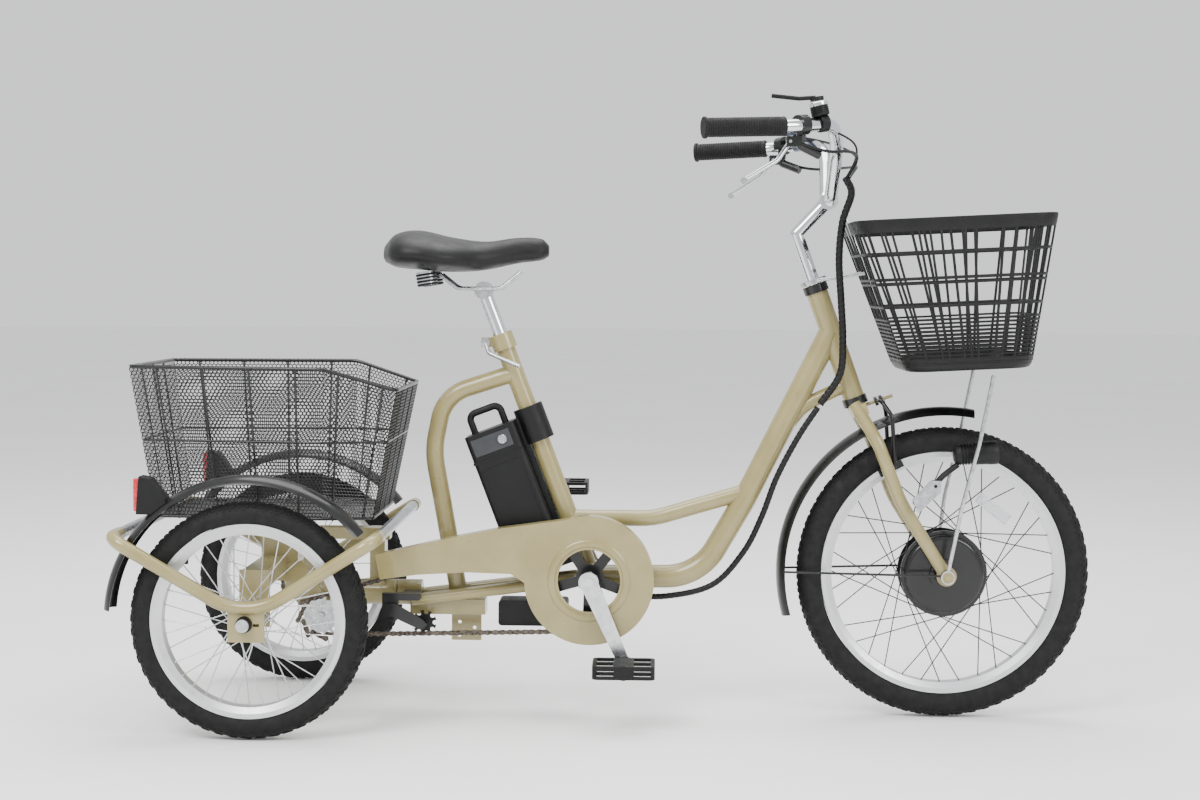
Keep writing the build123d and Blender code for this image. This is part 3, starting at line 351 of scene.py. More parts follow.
# Floor, light and the picture's camera
def softRoom():
    floorMaterial, tree, shader, coords = newMaterial("paperFloor", "F7F7F6", 0.85)
    variedColour(tree, shader, coords, "F6F6F5", "F9F9F8", 900.0)
    surfaceGrain(tree, shader, coords, 4.0, 0.03)
    mesh = bpy.data.meshes.new("floor")
    form = bmesh.new()
    bmesh.ops.create_circle(form, cap_ends=True, segments=96, radius=30.0, matrix=Matrix.Translation((0, 0, -0.001)))
    form.to_mesh(mesh)
    form.free()
    floor = bpy.data.objects.new("paperFloor", mesh)
    scene.collection.objects.link(floor)
    mesh.materials.append(floorMaterial)

    world = bpy.data.worlds.new("softRoom")
    world.use_nodes = True
    world.node_tree.nodes["Background"].inputs["Color"].default_value = linear("F6F7F8")
    world.node_tree.nodes["Background"].inputs["Strength"].default_value = 1.15
    scene.world = world

    lamps = [
        ("keyLight", (-1.6, -2.6, 3.2), 2.0, 150.0),
        ("fillLight", (2.4, -2.2, 2.0), 1.6, 60.0),
        ("topLight", (0.0, 0.6, 3.6), 3.0, 130.0),
    ]
    for name, spot, size, power in lamps:
        light = bpy.data.lights.new(name, "AREA")
        light.shape = "DISK"
        light.size = size
        light.energy = power
        holder = bpy.data.objects.new(name, light)
        holder.location = spot
        aim = Vector((0.0, 0.0, 0.5)) - Vector(spot)
        holder.rotation_euler = aim.to_track_quat("-Z", "Y").to_euler()
        scene.collection.objects.link(holder)

    camera = bpy.data.cameras.new("camera")
    camera.sensor_width = 36.0
    camera.lens = 58.65
    holder = bpy.data.objects.new("camera", camera)
    holder.location = (0.0675, -3.37, 0.741)
    holder.rotation_euler = (math.radians(90.0 - 3.37), math.radians(cameraRoll), math.radians(1.58))
    scene.collection.objects.link(holder)
    scene.camera = holder


cameraRoll = -0.45
softRoom()
print("stage ready")


# The rear basket's expanded metal: one pressed sheet per side with six-cornered openings and rounded strands
rearBasket = {
    "rim": [(-804, -152), (-472, -193), (-347, -152), (-347, 152), (-472, 193), (-804, 152)],
    "floor": [(-765, -128), (-480, -148), (-398, -128), (-398, 128), (-480, 148), (-765, 128)],
    "rimZ": 604.0, "floorZ": 345.0, "frontDip": 36.0, "pitch": 7.2, "strand": 0.95, "inset": 2.0,
    "rimWire": 3.2, "rod": 2.0, "beltZ": 477.0,
}


def rearCorner(index, z):
    share = (z - rearBasket["floorZ"]) / (rearBasket["rimZ"] - rearBasket["floorZ"])
    low, high = rearBasket["floor"][index % 6], rearBasket["rim"][index % 6]
    return Vector((low[0] + (high[0] - low[0]) * share, low[1] + (high[1] - low[1]) * share, z))


def rimHeight(index):
    # Rim height at a corner: the two front corners stand lower.
    return rearBasket["rimZ"] - (rearBasket["frontDip"] if index % 6 in (2, 3) else 0.0)


def hexSheet(corners, pitch, strandHalf, lift):
    # A net of hexagonal openings cut to a four-cornered panel, each strand with a raised middle.
    # corners go round the panel: low left, low right, high right, high left.
    lowLeft, lowRight, highRight, highLeft = corners
    wide = max((lowRight - lowLeft).length, (highRight - highLeft).length)
    tall = max((highLeft - lowLeft).length, (highRight - lowRight).length)
    normal = (lowRight - lowLeft).cross(highLeft - lowLeft).normalized()
    columnsCount = max(2, round(wide / pitch))
    rowsCount = max(2, round(tall / (pitch * 0.8)))

    def onPanel(u, v):
        u, v = min(max(u, 0.0), 1.0), min(max(v, 0.0), 1.0)
        return lowLeft.lerp(lowRight, u).lerp(highLeft.lerp(highRight, u), v)

    form = bmesh.new()
    for row in range(rowsCount):
        for column in range(columnsCount):
            middleU = (column + (0.5 if row % 2 else 0.0)) / columnsCount
            middleV = (row + 0.5) / rowsCount
            outer, inner = [], []
            for corner in range(6):
                turn = math.radians(60.0 * corner + 30.0)
                du = math.cos(turn) / math.sqrt(3.0) / columnsCount
                dv = math.sin(turn) * (2.0 / 3.0) / rowsCount
                outer.append(onPanel(middleU + du, middleV + dv))
                shrink = 1.0 - 2.0 * strandHalf / pitch
                inner.append(onPanel(middleU + du * shrink, middleV + dv * shrink))
            if (outer[0] - outer[3]).length < pitch * 0.3:
                continue
            outerVerts = [form.verts.new((point + normal * lift) * mm) for point in outer]
            innerVerts = [form.verts.new((point) * mm) for point in inner]
            outerBack = [form.verts.new((point - normal * lift) * mm) for point in outer]
            for k in range(6):
                n = (k + 1) % 6
                if (outer[k] - outer[n]).length < 0.2:
                    continue
                form.faces.new([outerVerts[k], outerVerts[n], innerVerts[n], innerVerts[k]])
                form.faces.new([innerVerts[k], innerVerts[n], outerBack[n], outerBack[k]])
    bmesh.ops.remove_doubles(form, verts=form.verts, dist=0.00008)
    form.normal_update()
    return form


def makeRearBasket():
    zLow = rearBasket["floorZ"] + 1.0
    facing = Vector((-590.0, 0.0, 470.0))
    for side in range(6):
        lowLeft, lowRight = rearCorner(side, zLow), rearCorner(side + 1, zLow)
        highLeft = rearCorner(side, rimHeight(side) - 1.0)
        highRight = rearCorner(side + 1, rimHeight(side + 1) - 1.0)
        corners = [lowLeft, lowRight, highRight, highLeft]
        middle = sum(corners, Vector()) / 4
        inward = (facing - middle).normalized() * rearBasket["inset"]
        form = hexSheet([c + inward for c in corners], rearBasket["pitch"], rearBasket["strand"], 0.5)
        place(f"rearBasketSide{side}", form, "carriage", finish["blackEnamel"])
    floorCorners = [rearCorner(5, zLow + 2), rearCorner(0, zLow + 2), rearCorner(1, zLow + 2), rearCorner(4, zLow + 2)]
    form = hexSheet(floorCorners, rearBasket["pitch"], rearBasket["strand"], 0.5)
    place("rearBasketFloorBack", form, "carriage", finish["blackEnamel"])
    floorCorners = [rearCorner(4, zLow + 2), rearCorner(1, zLow + 2), rearCorner(2, zLow + 2), rearCorner(3, zLow + 2)]
    form = hexSheet(floorCorners, rearBasket["pitch"], rearBasket["strand"], 0.5)
    place("rearBasketFloorFront", form, "carriage", finish["blackEnamel"])
    wires = []
    rim = [rearCorner(k, rimHeight(k) - rearBasket["rimWire"]) for k in range(6)]
    # The rim rod's line lies just inside the sheet's edge, so that it stays in the panel's width
    rim = [p + (facing - p).normalized() * rearBasket["rimWire"] for p in rim]
    wires.append(roundedLoop(rim, 14.0, rearBasket["rimWire"]))
    for z, size in ((rearBasket["beltZ"], 2.2), (rearBasket["floorZ"] + 3.0, 2.6)):
        loop = [rearCorner(k, z) for k in range(6)]
        loop = [p + (Vector((facing.x, facing.y, z)) - p).normalized() * 2.2 for p in loop]
        wires.append(roundedLoop(loop, 12.0, size))
    uprights = []
    for side in range(6):
        shares = (0.14, 0.38, 0.62, 0.86) if side in (0, 4) else ((0.2, 0.8) if side in (1, 3) else (0.25, 0.5, 0.75))
        for share in shares:
            uprights.append((side, share))
    for side, share in uprights:
        low = rearCorner(side, zLow).lerp(rearCorner(side + 1, zLow), share)
        topZ = rimHeight(side) + (rimHeight(side + 1) - rimHeight(side)) * share - 3.0
        high = rearCorner(side, topZ).lerp(rearCorner(side + 1, topZ), share)
        pull = (Vector((facing.x, facing.y, 0)) - Vector((low.x, low.y, 0))).normalized() * 1.4
        across = low + pull * 26
        wires.append(pathTube([across + Vector((0, 0, 2)), low + pull * 3 + Vector((0, 0, 2)), low + pull, high + pull],
                              rearBasket["rod"], order=2))
    form = joined(wires)
    piece = place("rearBasketRods", form, "carriage", finish["blackEnamel"])
    smoothFaces(piece, 50.0)
    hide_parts("rear_basket")


def roundedLoop(corners, radiusMm, wireMm):
    # A closed rod through corners rounded by short arcs.
    points = []
    count = len(corners)
    for k in range(count):
        here, before, after = corners[k], corners[k - 1], corners[(k + 1) % count]
        a = here + (before - here).normalized() * radiusMm
        b = here + (after - here).normalized() * radiusMm
        for step in range(6):
            t = step / 5
            points.append(a * (1 - t) ** 2 + here * 2 * t * (1 - t) + b * t ** 2)
    return pathTube(points, wireMm, order=2, cyclic=True)


makeRearBasket()
print("rear basket")


# The front basket: a moulded tub of bars under a deep rolled rim, closed with slats low down
frontBasket = {
    "rimZ": 858.0, "floorZ": 604.0, "tilt": 3.0, "corner": 45.0,
    "rimCentre": 563.0, "rimSize": (338.0, 330.0), "floorCentre": 595.0, "floorSize": (214.0, 236.0),
    "ringBars": (0.42, 0.57, 0.60, 0.77), "slats": 11, "slatTop": 0.34, "barHalf": 2.2, "barDeep": 3.4,
}


def tubLoop(share, inset):
    # Points round the tub at a height share, the same number at every height.
    size = [low + (high - low) * share for low, high in zip(frontBasket["floorSize"], frontBasket["rimSize"])]
    centre = frontBasket["floorCentre"] + (frontBasket["rimCentre"] - frontBasket["floorCentre"]) * share
    z = frontBasket["floorZ"] + (frontBasket["rimZ"] - frontBasket["floorZ"]) * share
    corner = frontBasket["corner"] - inset
    halfX, halfY = size[0] / 2 - inset - corner, size[1] / 2 - inset - corner
    points = []
    for quarter, (sx, sy) in enumerate(((1, 1), (-1, 1), (-1, -1), (1, -1))):
        for step in range(9):
            turn = math.radians(90.0 * quarter + 90.0 * step / 8)
            points.append((sx * halfX + corner * math.cos(turn), sy * halfY + corner * math.sin(turn)))
        nextX, nextY = ((-1, 1), (-1, -1), (1, -1), (1, 1))[quarter]
        turn = math.radians(90.0 * (quarter + 1))
        start = points[-1]
        end = (nextX * halfX + corner * math.cos(turn), nextY * halfY + corner * math.sin(turn))
        for step in range(1, 12):
            points.append((start[0] + (end[0] - start[0]) * step / 12, start[1] + (end[1] - start[1]) * step / 12))
    lean = math.radians(frontBasket["tilt"])
    return [Vector((centre + x * math.cos(lean), y, z + x * math.sin(lean))) for x, y in points]


def sweptLoops(form, loops, closeSection=True, closeLoop=True):
    # Faces between point loops; the loops are the section's corners in order.
    rows = [[form.verts.new(point * mm) for point in loop] for loop in loops]
    count = len(rows)
    for k in range(count if closeSection else count - 1):
        a, b = rows[k], rows[(k + 1) % count]
        length = len(a)
        for j in range(length if closeLoop else length - 1):
            n = (j + 1) % length
            form.faces.new([a[j], a[n], b[n], b[j]])
    return rows


def tubBand(form, low, high, outside, inside):
    # A bar round the tub with eased edges.
    ease = min(1.0, (inside - outside) * 0.3)
    rise = (high - low) * 0.22
    sweptLoops(form, [
        tubLoop(low, outside + ease), tubLoop(low + rise, outside), tubLoop(high - rise, outside),
        tubLoop(high, outside + ease), tubLoop(high, inside - ease), tubLoop(high - rise, inside),
        tubLoop(low + rise, inside), tubLoop(low, inside - ease),
    ])


def tubUpright(form, position, low, high, half, deep):
    # A straight upright bar at a place on the loop, given as a fractional index.
    stations = 6
    index, share = int(position), position - int(position)
    rows = []
    for step in range(stations + 1):
        level = low + (high - low) * step / stations
        outer, inner = tubLoop(level, 0.4), tubLoop(level, 0.4 + deep)
        count = len(outer)
        a = outer[index % count].lerp(outer[(index + 1) % count], share)
        c = inner[index % count].lerp(inner[(index + 1) % count], share)
        along = (outer[(index + 1) % count] - outer[index % count]).normalized()
        inward = (c - a).normalized()
        ring = [a + along * (half - 0.7), a + along * half + inward * 0.8, c + along * half - inward * 0.6,
                c + along * (half - 0.7), c - along * (half - 0.7), c - along * half - inward * 0.6,
                a - along * half + inward * 0.8, a - along * (half - 0.7)]
        rows.append([form.verts.new(point * mm) for point in ring])
    for a, b in zip(rows, rows[1:]):
        for j in range(8):
            n = (j + 1) % 8
            form.faces.new([a[j], a[n], b[n], b[j]])
    form.faces.new(rows[0][::-1])
    form.faces.new(rows[-1])


def makeFrontBasket():
    shell = frontBasket
    form = bmesh.new()
    # Rim: a rolled top, a deep outer skirt and a narrow bead under it
    sweptLoops(form, [
        tubLoop(0.915, 0.6), tubLoop(0.93, 0.0), tubLoop(0.985, 0.0), tubLoop(0.997, 1.0), tubLoop(0.999, 2.8),
        tubLoop(0.997, 4.6), tubLoop(0.985, 5.6), tubLoop(0.965, 5.2), tubLoop(0.96, 3.0), tubLoop(0.93, 2.6),
    ])
    for level in shell["ringBars"]:
        tubBand(form, level, level + 0.019, 0.3, 3.9)
    slatStep = (shell["slatTop"] - 0.05) / shell["slats"]
    for k in range(shell["slats"] + 1):
        level = 0.045 + k * slatStep
        tubBand(form, level, level + slatStep * 0.55, 0.2, 3.4)
    # Floor pan: a dished plate whose edge turns up into the lowest slat
    rows = sweptLoops(form, [
        tubLoop(0.075, 0.5), tubLoop(0.03, 1.5), tubLoop(0.006, 5.0), tubLoop(0.0, 11.0), tubLoop(0.012, 11.0),
        tubLoop(0.02, 6.5), tubLoop(0.04, 4.0), tubLoop(0.075, 3.4),
    ])
    bottomRing, topRing = rows[3], rows[4]
    form.faces.new(bottomRing[::-1])
    form.faces.new(topRing)
    perimeter = len(tubLoop(0.0, 0.0))
    groups = []
    # Bars stand in twos and threes on the straight sides and singly in the corners
    for quarter in range(4):
        base = quarter * 20
        groups += [base + 4.0, base + 0.6, base + 7.4]
        groups += [base + 8 + 2.0, base + 8 + 3.0, base + 8 + 5.2, base + 8 + 6.2, base + 8 + 7.2,
                   base + 8 + 9.6, base + 8 + 10.6]
    for position in groups:
        tubUpright(form, position % perimeter, 0.05, 0.95, shell["barHalf"], shell["barDeep"])
    bmesh.ops.recalc_face_normals(form, faces=form.faces)
    piece = place("frontBasketTub", form, "steering", finish["mouldedPlastic"])
    smoothFaces(piece, 40.0)
    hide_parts("front_basket")


makeFrontBasket()
print("front basket")


# Tyres: a smooth casing with moulded centre blocks and shoulder blocks that follow the crown
tyreWork = {
    "front": (axles["front"], 251.0, 49.0, 209.0, 132, "wheel_front"),
    "right": (axles["right"], 194.0, 44.0, 158.5, 104, "wheel_right"),
    "left": (axles["left"], 194.0, 44.0, 158.5, 104, "wheel_left"),
}


def tyreMesh(centre, radius, width, rimRadius, segments):
    crown = width / 2 - 1.5
    middleRadius = radius - 1.5 - crown
    form = bmesh.new()
    sectionSteps = 20
    low = math.asin(min(0.95, (rimRadius + 1.5 - middleRadius) / crown)) if rimRadius > middleRadius - crown else -1.2
    sweep = [low + (math.pi - 2 * low) * k / sectionSteps for k in range(sectionSteps + 1)]
    turns = 120
    rows = []
    for turnStep in range(turns):
        a = 2 * math.pi * turnStep / turns
        ring = []
        for s in sweep:
            r = middleRadius + crown * math.sin(s)
            y = crown * math.cos(s)
            ring.append(form.verts.new(((centre[0] + r * math.cos(a)) * mm, (centre[1] + y) * mm,
                                        (centre[2] + r * math.sin(a)) * mm)))
        rows.append(ring)
    for turnStep in range(turns):
        a, b = rows[turnStep], rows[(turnStep + 1) % turns]
        for k in range(sectionSteps):
            form.faces.new([a[k], b[k], b[k + 1], a[k + 1]])
        form.faces.new([a[-1], b[-1], b[0], a[0]])
    blocks = []
    for segment in range(segments):
        flip = 1 if segment % 2 else -1
        blocks.append((segment, 0.0 + flip * 0.16, 0.15, 0.66, 0.0, 1.5))
        blocks.append((segment + 0.5, -flip * 0.42, 0.11, 0.6, 0.25, 1.5))
        for side in (-1, 1):
            blocks.append((segment, side * 0.78, 0.13, 0.5, 0.0, 1.2))
            blocks.append((segment + 0.5, side * 1.04, 0.1, 0.42, 0.0, 0.7))
    step = 2 * math.pi / segments
    for position, lean, halfLean, share, skew, height in blocks:
        low4, high4 = [], []
        for du, dv in ((-1, -1), (1, -1), (1, 1), (-1, 1)):
            a = (position + (du + dv * skew) * share * 0.5) * step
            for target, lift, shrink in ((low4, -0.5, 1.0), (high4, height, 0.82)):
                s = math.pi / 2 - (lean + dv * halfLean * shrink)
                angle = (position + (du * shrink + dv * skew) * share * 0.5) * step
                r = middleRadius + (crown + lift) * math.sin(s)
                y = (crown + lift) * math.cos(s)
                target.append(form.verts.new(((centre[0] + r * math.cos(angle)) * mm, (centre[1] + y) * mm,
                                              (centre[2] + r * math.sin(angle)) * mm)))
        form.faces.new(high4)
        for k in range(4):
            n = (k + 1) % 4
            form.faces.new([low4[k], low4[n], high4[n], high4[k]])
    bmesh.ops.recalc_face_normals(form, faces=form.faces)
    return form


for wheelName, (centre, radius, width, rimRadius, segments, body) in tyreWork.items():
    form = tyreMesh(centre, radius, width, rimRadius, segments)
    tyre = place(wheelName + "TyreTread", form, body, finish["tyreRubber"])
    smoothFaces(tyre, 30.0)
    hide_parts(wheelName + "_tyre")
print("tyres")


# Roller chains: pairs of inner and outer links repeated along the run
chainWork = {"pitch": 12.7, "plateHigh": 4.1, "waist": 2.9, "plateThick": 1.0, "rollerR": 3.9, "pinR": 1.8}


def linkPair():
    # One inner and one outer link, centred on the first pin's line, running along X.
    form = bmesh.new()
    pitch = chainWork["pitch"]
    for startX, sides in ((0.0, (-2.0, 2.0)), (pitch, (-3.1, 3.1))):
        outline = []
        for step in range(9):
            turn = math.radians(90.0 + 180.0 * step / 8)
            outline.append((startX + chainWork["plateHigh"] * math.cos(turn), chainWork["plateHigh"] * math.sin(turn)))
        outline.append((startX + pitch / 2, -chainWork["waist"]))
        for step in range(9):
            turn = math.radians(-90.0 + 180.0 * step / 8)
            outline.append((startX + pitch + chainWork["plateHigh"] * math.cos(turn), chainWork["plateHigh"] * math.sin(turn)))
        outline.append((startX + pitch / 2, chainWork["waist"]))
        for y in sides:
            front = [form.verts.new((x * mm, (y - chainWork["plateThick"] / 2) * mm, z * mm)) for x, z in outline]
            back = [form.verts.new((x * mm, (y + chainWork["plateThick"] / 2) * mm, z * mm)) for x, z in outline]
            form.faces.new(front)
            form.faces.new(back[::-1])
            for k in range(len(outline)):
                n = (k + 1) % len(outline)
                form.faces.new([front[n], front[k], back[k], back[n]])
    for x in (0.0, pitch):
        for radius, half in ((chainWork["rollerR"], 1.5), (chainWork["pinR"], 3.9)):
            spin = Matrix.Translation((x * mm, 0, 0)) @ Matrix.Rotation(math.radians(90), 4, "X")
            bmesh.ops.create_cone(form, cap_ends=True, segments=10, radius1=radius * mm, radius2=radius * mm,
                                  depth=2 * half * mm, matrix=spin)
    bmesh.ops.recalc_face_normals(form, faces=form.faces)
    mesh = bpy.data.meshes.new("linkPair")
    form.to_mesh(mesh)
    form.free()
    item = bpy.data.objects.new("linkPair", mesh)
    scene.collection.objects.link(item)
    return item


def loopRoute(front, back, y, nodesPerTurn=40):
    # The pitch line round two sprockets, each given as x, z, radius.
    span = math.hypot(back[0] - front[0], back[1] - front[1])
    heading = math.atan2(back[1] - front[1], back[0] - front[0])
    offset = math.acos((front[2] - back[2]) / span)
    points = []
    start, end = heading + offset, heading + 2 * math.pi - offset
    for step in range(nodesPerTurn + 1):
        a = start + (end - start) * step / nodesPerTurn
        points.append((front[0] + front[2] * math.cos(a), y, front[1] + front[2] * math.sin(a)))
    start, end = heading - offset, heading + offset
    for step in range(nodesPerTurn // 2 + 1):
        a = start + (end - start) * step / (nodesPerTurn // 2)
        points.append((back[0] + back[2] * math.cos(a), y, back[1] + back[2] * math.sin(a)))
    return points


def repeatTree():
    # Sets copies of an item along a closed curve in an upright plane.
    tree = bpy.data.node_groups.new("repeatAlong", "GeometryNodeTree")
    tree.interface.new_socket("Geometry", in_out="INPUT", socket_type="NodeSocketGeometry")
    itemSocket = tree.interface.new_socket("Item", in_out="INPUT", socket_type="NodeSocketObject")
    countSocket = tree.interface.new_socket("Count", in_out="INPUT", socket_type="NodeSocketInt")
    finishSocket = tree.interface.new_socket("Finish", in_out="INPUT", socket_type="NodeSocketMaterial")
    tree.interface.new_socket("Geometry", in_out="OUTPUT", socket_type="NodeSocketGeometry")
    source = tree.nodes.new("NodeGroupInput")
    points = addNode(tree, "GeometryNodeCurveToPoints", {"Curve": source.outputs["Geometry"],
                                                        "Count": source.outputs["Count"]}, mode="COUNT")
    turn = addNode(tree, "FunctionNodeAlignRotationToVector", {"Vector": points.outputs["Tangent"]}, axis="X", pivot_axis="Y")
    info = addNode(tree, "GeometryNodeObjectInfo", {"Object": source.outputs["Item"]})
    copies = addNode(tree, "GeometryNodeInstanceOnPoints", {"Points": points.outputs["Points"],
                     "Instance": info.outputs["Geometry"], "Rotation": turn.outputs["Rotation"]})
    real = addNode(tree, "GeometryNodeRealizeInstances", {"Geometry": copies.outputs["Instances"]})
    painted = addNode(tree, "GeometryNodeSetMaterial", {"Geometry": real.outputs["Geometry"],
                                                       "Material": source.outputs["Finish"]})
    sink = tree.nodes.new("NodeGroupOutput")
    tree.links.new(painted.outputs["Geometry"], sink.inputs["Geometry"])
    return tree, itemSocket.identifier, countSocket.identifier, finishSocket.identifier


def chainMesh(front, back, y, item, treeData):
    tree, itemKey, countKey, finishKey = treeData
    points = loopRoute(front, back, y)
    length = sum((Vector(points[k]) - Vector(points[k - 1])).length for k in range(len(points)))
    curve = bpy.data.curves.new("run", "CURVE")
    curve.dimensions = "3D"
    spline = curve.splines.new("POLY")
    spline.points.add(len(points) - 1)
    for target, point in zip(spline.points, points):
        target.co = (point[0] * mm, point[1] * mm, point[2] * mm, 1.0)
    spline.use_cyclic_u = True
    holder = bpy.data.objects.new("run", curve)
    scene.collection.objects.link(holder)
    modifier = holder.modifiers.new("repeat", "NODES")
    modifier.node_group = tree
    modifier[itemKey] = item
    modifier[countKey] = round(length / (2 * chainWork["pitch"]))
    modifier[finishKey] = finish["chainSteel"]
    bpy.context.view_layer.update()
    mesh = bpy.data.meshes.new_from_object(holder.evaluated_get(bpy.context.evaluated_depsgraph_get()))
    bpy.data.objects.remove(holder)
    return mesh


def makeChains():
    item = linkPair()
    treeData = repeatTree()
    ringR = chainWork["pitch"] / (2 * math.sin(math.pi / 46))
    sprocketR = chainWork["pitch"] / (2 * math.sin(math.pi / 16))
    mesh = chainMesh((bracketX, bracketZ, ringR), (-500.0, 169.0, sprocketR), -45.0, item, treeData)
    drive = bpy.data.objects.new("driveChainLinks", mesh)
    scene.collection.objects.link(drive)
    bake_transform(drive)
    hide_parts("drive_chain")
    mesh = chainMesh((-500.0, 169.0, sprocketR), (-583.0, 194.0, sprocketR), 211.5, item, treeData)
    second = place("axleChainLinks", mesh, "carriage", finish["chainSteel"])
    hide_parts("axle_chain")
    bpy.data.objects.remove(item)


makeChains()
print("chains")


# Saddle cover: a wide crowned back and a slim nose, filled so that the skin stands full
saddleWork = {
    "voxel": 0.005, "pressure": 4.0, "frames": 20, "cap": 0.004,
    "sections": [(-168, 46, 768, 808), (-150, 88, 752, 826), (-110, 106, 745, 832), (-55, 94, 744, 820),
                 (0, 50, 750, 814), (60, 28, 764, 821), (100, 21, 772, 819), (112, 11, 784, 808)],
}


def saddleAt(ahead):
    # Half width, low and high at a distance ahead, on a smooth line through the sections.
    rows = saddleWork["sections"]
    for k in range(len(rows) - 1):
        if rows[k][0] <= ahead <= rows[k + 1][0]:
            a, b = rows[k], rows[k + 1]
            before = rows[max(0, k - 1)]
            after = rows[min(len(rows) - 1, k + 2)]
            t = (ahead - a[0]) / (b[0] - a[0])
            values = []
            for j in (1, 2, 3):
                m0 = (b[j] - before[j]) / (b[0] - before[0]) * (b[0] - a[0])
                m1 = (after[j] - a[j]) / (after[0] - a[0]) * (b[0] - a[0])
                values.append((2 * t ** 3 - 3 * t ** 2 + 1) * a[j] + (t ** 3 - 2 * t ** 2 + t) * m0
                              + (-2 * t ** 3 + 3 * t ** 2) * b[j] + (t ** 3 - t ** 2) * m1)
            return values
    return list(rows[-1][1:])


def makeSaddle():
    lowCorner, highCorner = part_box("saddle")
    baseX = (lowCorner[0] / mm) + 168.0
    form = bmesh.new()
    stations, around = 56, 40
    rows = []
    for step in range(stations + 1):
        ahead = -168.0 + 280.0 * step / stations
        half, low, high = saddleAt(ahead)
        centreZ, rise = (low + high) / 2, (high - low) / 2
        ring = []
        for k in range(around):
            a = 2 * math.pi * k / around
            y, z = math.cos(a), math.sin(a)
            if z < 0:
                z *= 0.55
                y = math.copysign(abs(y) ** 0.8, y)
            ring.append(form.verts.new(((baseX + ahead) * mm, y * half * mm, (centreZ + z * rise) * mm)))
        rows.append(ring)
    for a, b in zip(rows, rows[1:]):
        for k in range(around):
            n = (k + 1) % around
            form.faces.new([a[k], a[n], b[n], b[k]])
    form.faces.new(rows[0][::-1])
    form.faces.new(rows[-1])
    bmesh.ops.recalc_face_normals(form, faces=form.faces)
    cover = place("saddleCover", form, "seat", finish["saddleVinyl"])
    bpy.context.view_layer.objects.active = cover
    cover.data.remesh_voxel_size = saddleWork["voxel"]
    cover.parent = None
    with bpy.context.temp_override(active_object=cover, object=cover, selected_objects=[cover]):
        bpy.ops.object.voxel_remesh()
    inflate(cover)
    cover.data.shade_smooth()
    cover.data.materials.clear()
    cover.data.materials.append(finish["saddleVinyl"])
    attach(cover, "seat")
    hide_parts("saddle")


def inflate(cover):
    # A short cloth run under light pressure, with the underside held; movement is capped.
    rest = [v.co.copy() for v in cover.data.vertices]
    lowest = min(p.z for p in rest)
    held = cover.vertex_groups.new(name="held")
    held.add([i for i, p in enumerate(rest) if p.z < lowest + 0.022], 1.0, "REPLACE")
    cloth = cover.modifiers.new("fill", "CLOTH")
    cloth.settings.use_pressure = True
    cloth.settings.uniform_pressure_force = saddleWork["pressure"]
    cloth.settings.effector_weights.gravity = 0.0
    cloth.settings.vertex_group_mass = "held"
    cloth.settings.tension_stiffness = 30.0
    cloth.settings.compression_stiffness = 30.0
    cloth.settings.bending_stiffness = 6.0
    cloth.point_cache.frame_end = saddleWork["frames"]
    for frameNumber in range(1, saddleWork["frames"] + 1):
        scene.frame_set(frameNumber)
    moved = bpy.data.meshes.new_from_object(cover.evaluated_get(bpy.context.evaluated_depsgraph_get()))
    cover.modifiers.clear()
    cover.vertex_groups.clear()
    if len(moved.vertices) == len(rest):
        for vertex, start in zip(moved.vertices, rest):
            shift = vertex.co - start
            if shift.length > saddleWork["cap"]:
                vertex.co = start + shift.normalized() * saddleWork["cap"]
        cover.data = moved
    scene.frame_set(1)


makeSaddle()
print("saddle")


# Wiring looms: cables inside a spiral wrap, whose edge stands up once in every turn
loomWork = {
    "steer": [(386, -80, 922), (397, -66, 897), (384, -54, 850), (380, -45, 788), (385, -41, 716), (389, -38, 650),
              (385, -36, 592), (352, -33, 540)],
    "frame": [(349, -32.8, 535.5), (316, -32, 484), (281, -28, 415), (256, -20, 345), (226, -8, 282), (174, 0, 224),
              (96, 0, 203), (20, 0, 203)],
    "turn": 9.0, "step": 1.1, "sides": 16, "groove": 0.16,
}


def smoothLine(points, spacing):
    # Evenly spaced points on a smooth line through the given ones.
    rows = [Vector(p) for p in points]
    rows = [rows[0] * 2 - rows[1]] + rows + [rows[-1] * 2 - rows[-2]]
    fine = []
    for k in range(1, len(rows) - 2):
        a, b, c, d = rows[k - 1:k + 3]
        for step in range(40):
            t = step / 40
            fine.append(0.5 * ((2 * b) + (c - a) * t + (2 * a - 5 * b + 4 * c - d) * t ** 2
                               + (3 * b - a - 3 * c + d) * t ** 3))
    fine.append(rows[-2])
    out, carry = [fine[0]], 0.0
    for p, q in zip(fine, fine[1:]):
        length = (q - p).length
        while carry + length >= spacing:
            p = p + (q - p).normalized() * (spacing - carry)
            out.append(p)
            length = (q - p).length
            carry = 0.0
        carry += length
    return out


def sweptTube(points, radiusAt, sides):
    # A closed tube whose radius is a function of the distance along and the angle.
    form = bmesh.new()
    rows = []
    side = None
    travelled = 0.0
    for k, p in enumerate(points):
        ahead = (points[min(k + 1, len(points) - 1)] - points[max(k - 1, 0)]).normalized()
        if side is None:
            side = ahead.orthogonal().normalized()
        side = (side - ahead * side.dot(ahead)).normalized()
        up = ahead.cross(side)
        if k:
            travelled += (p - points[k - 1]).length
        ring = []
        for j in range(sides):
            a = 2 * math.pi * j / sides
            r = radiusAt(travelled, a)
            ring.append(form.verts.new((p + side * math.cos(a) * r + up * math.sin(a) * r) * mm))
        rows.append(ring)
    for a, b in zip(rows, rows[1:]):
        for j in range(sides):
            n = (j + 1) % sides
            form.faces.new([a[j], a[n], b[n], b[j]])
    form.faces.new(rows[0][::-1])
    form.faces.new(rows[-1])
    return form


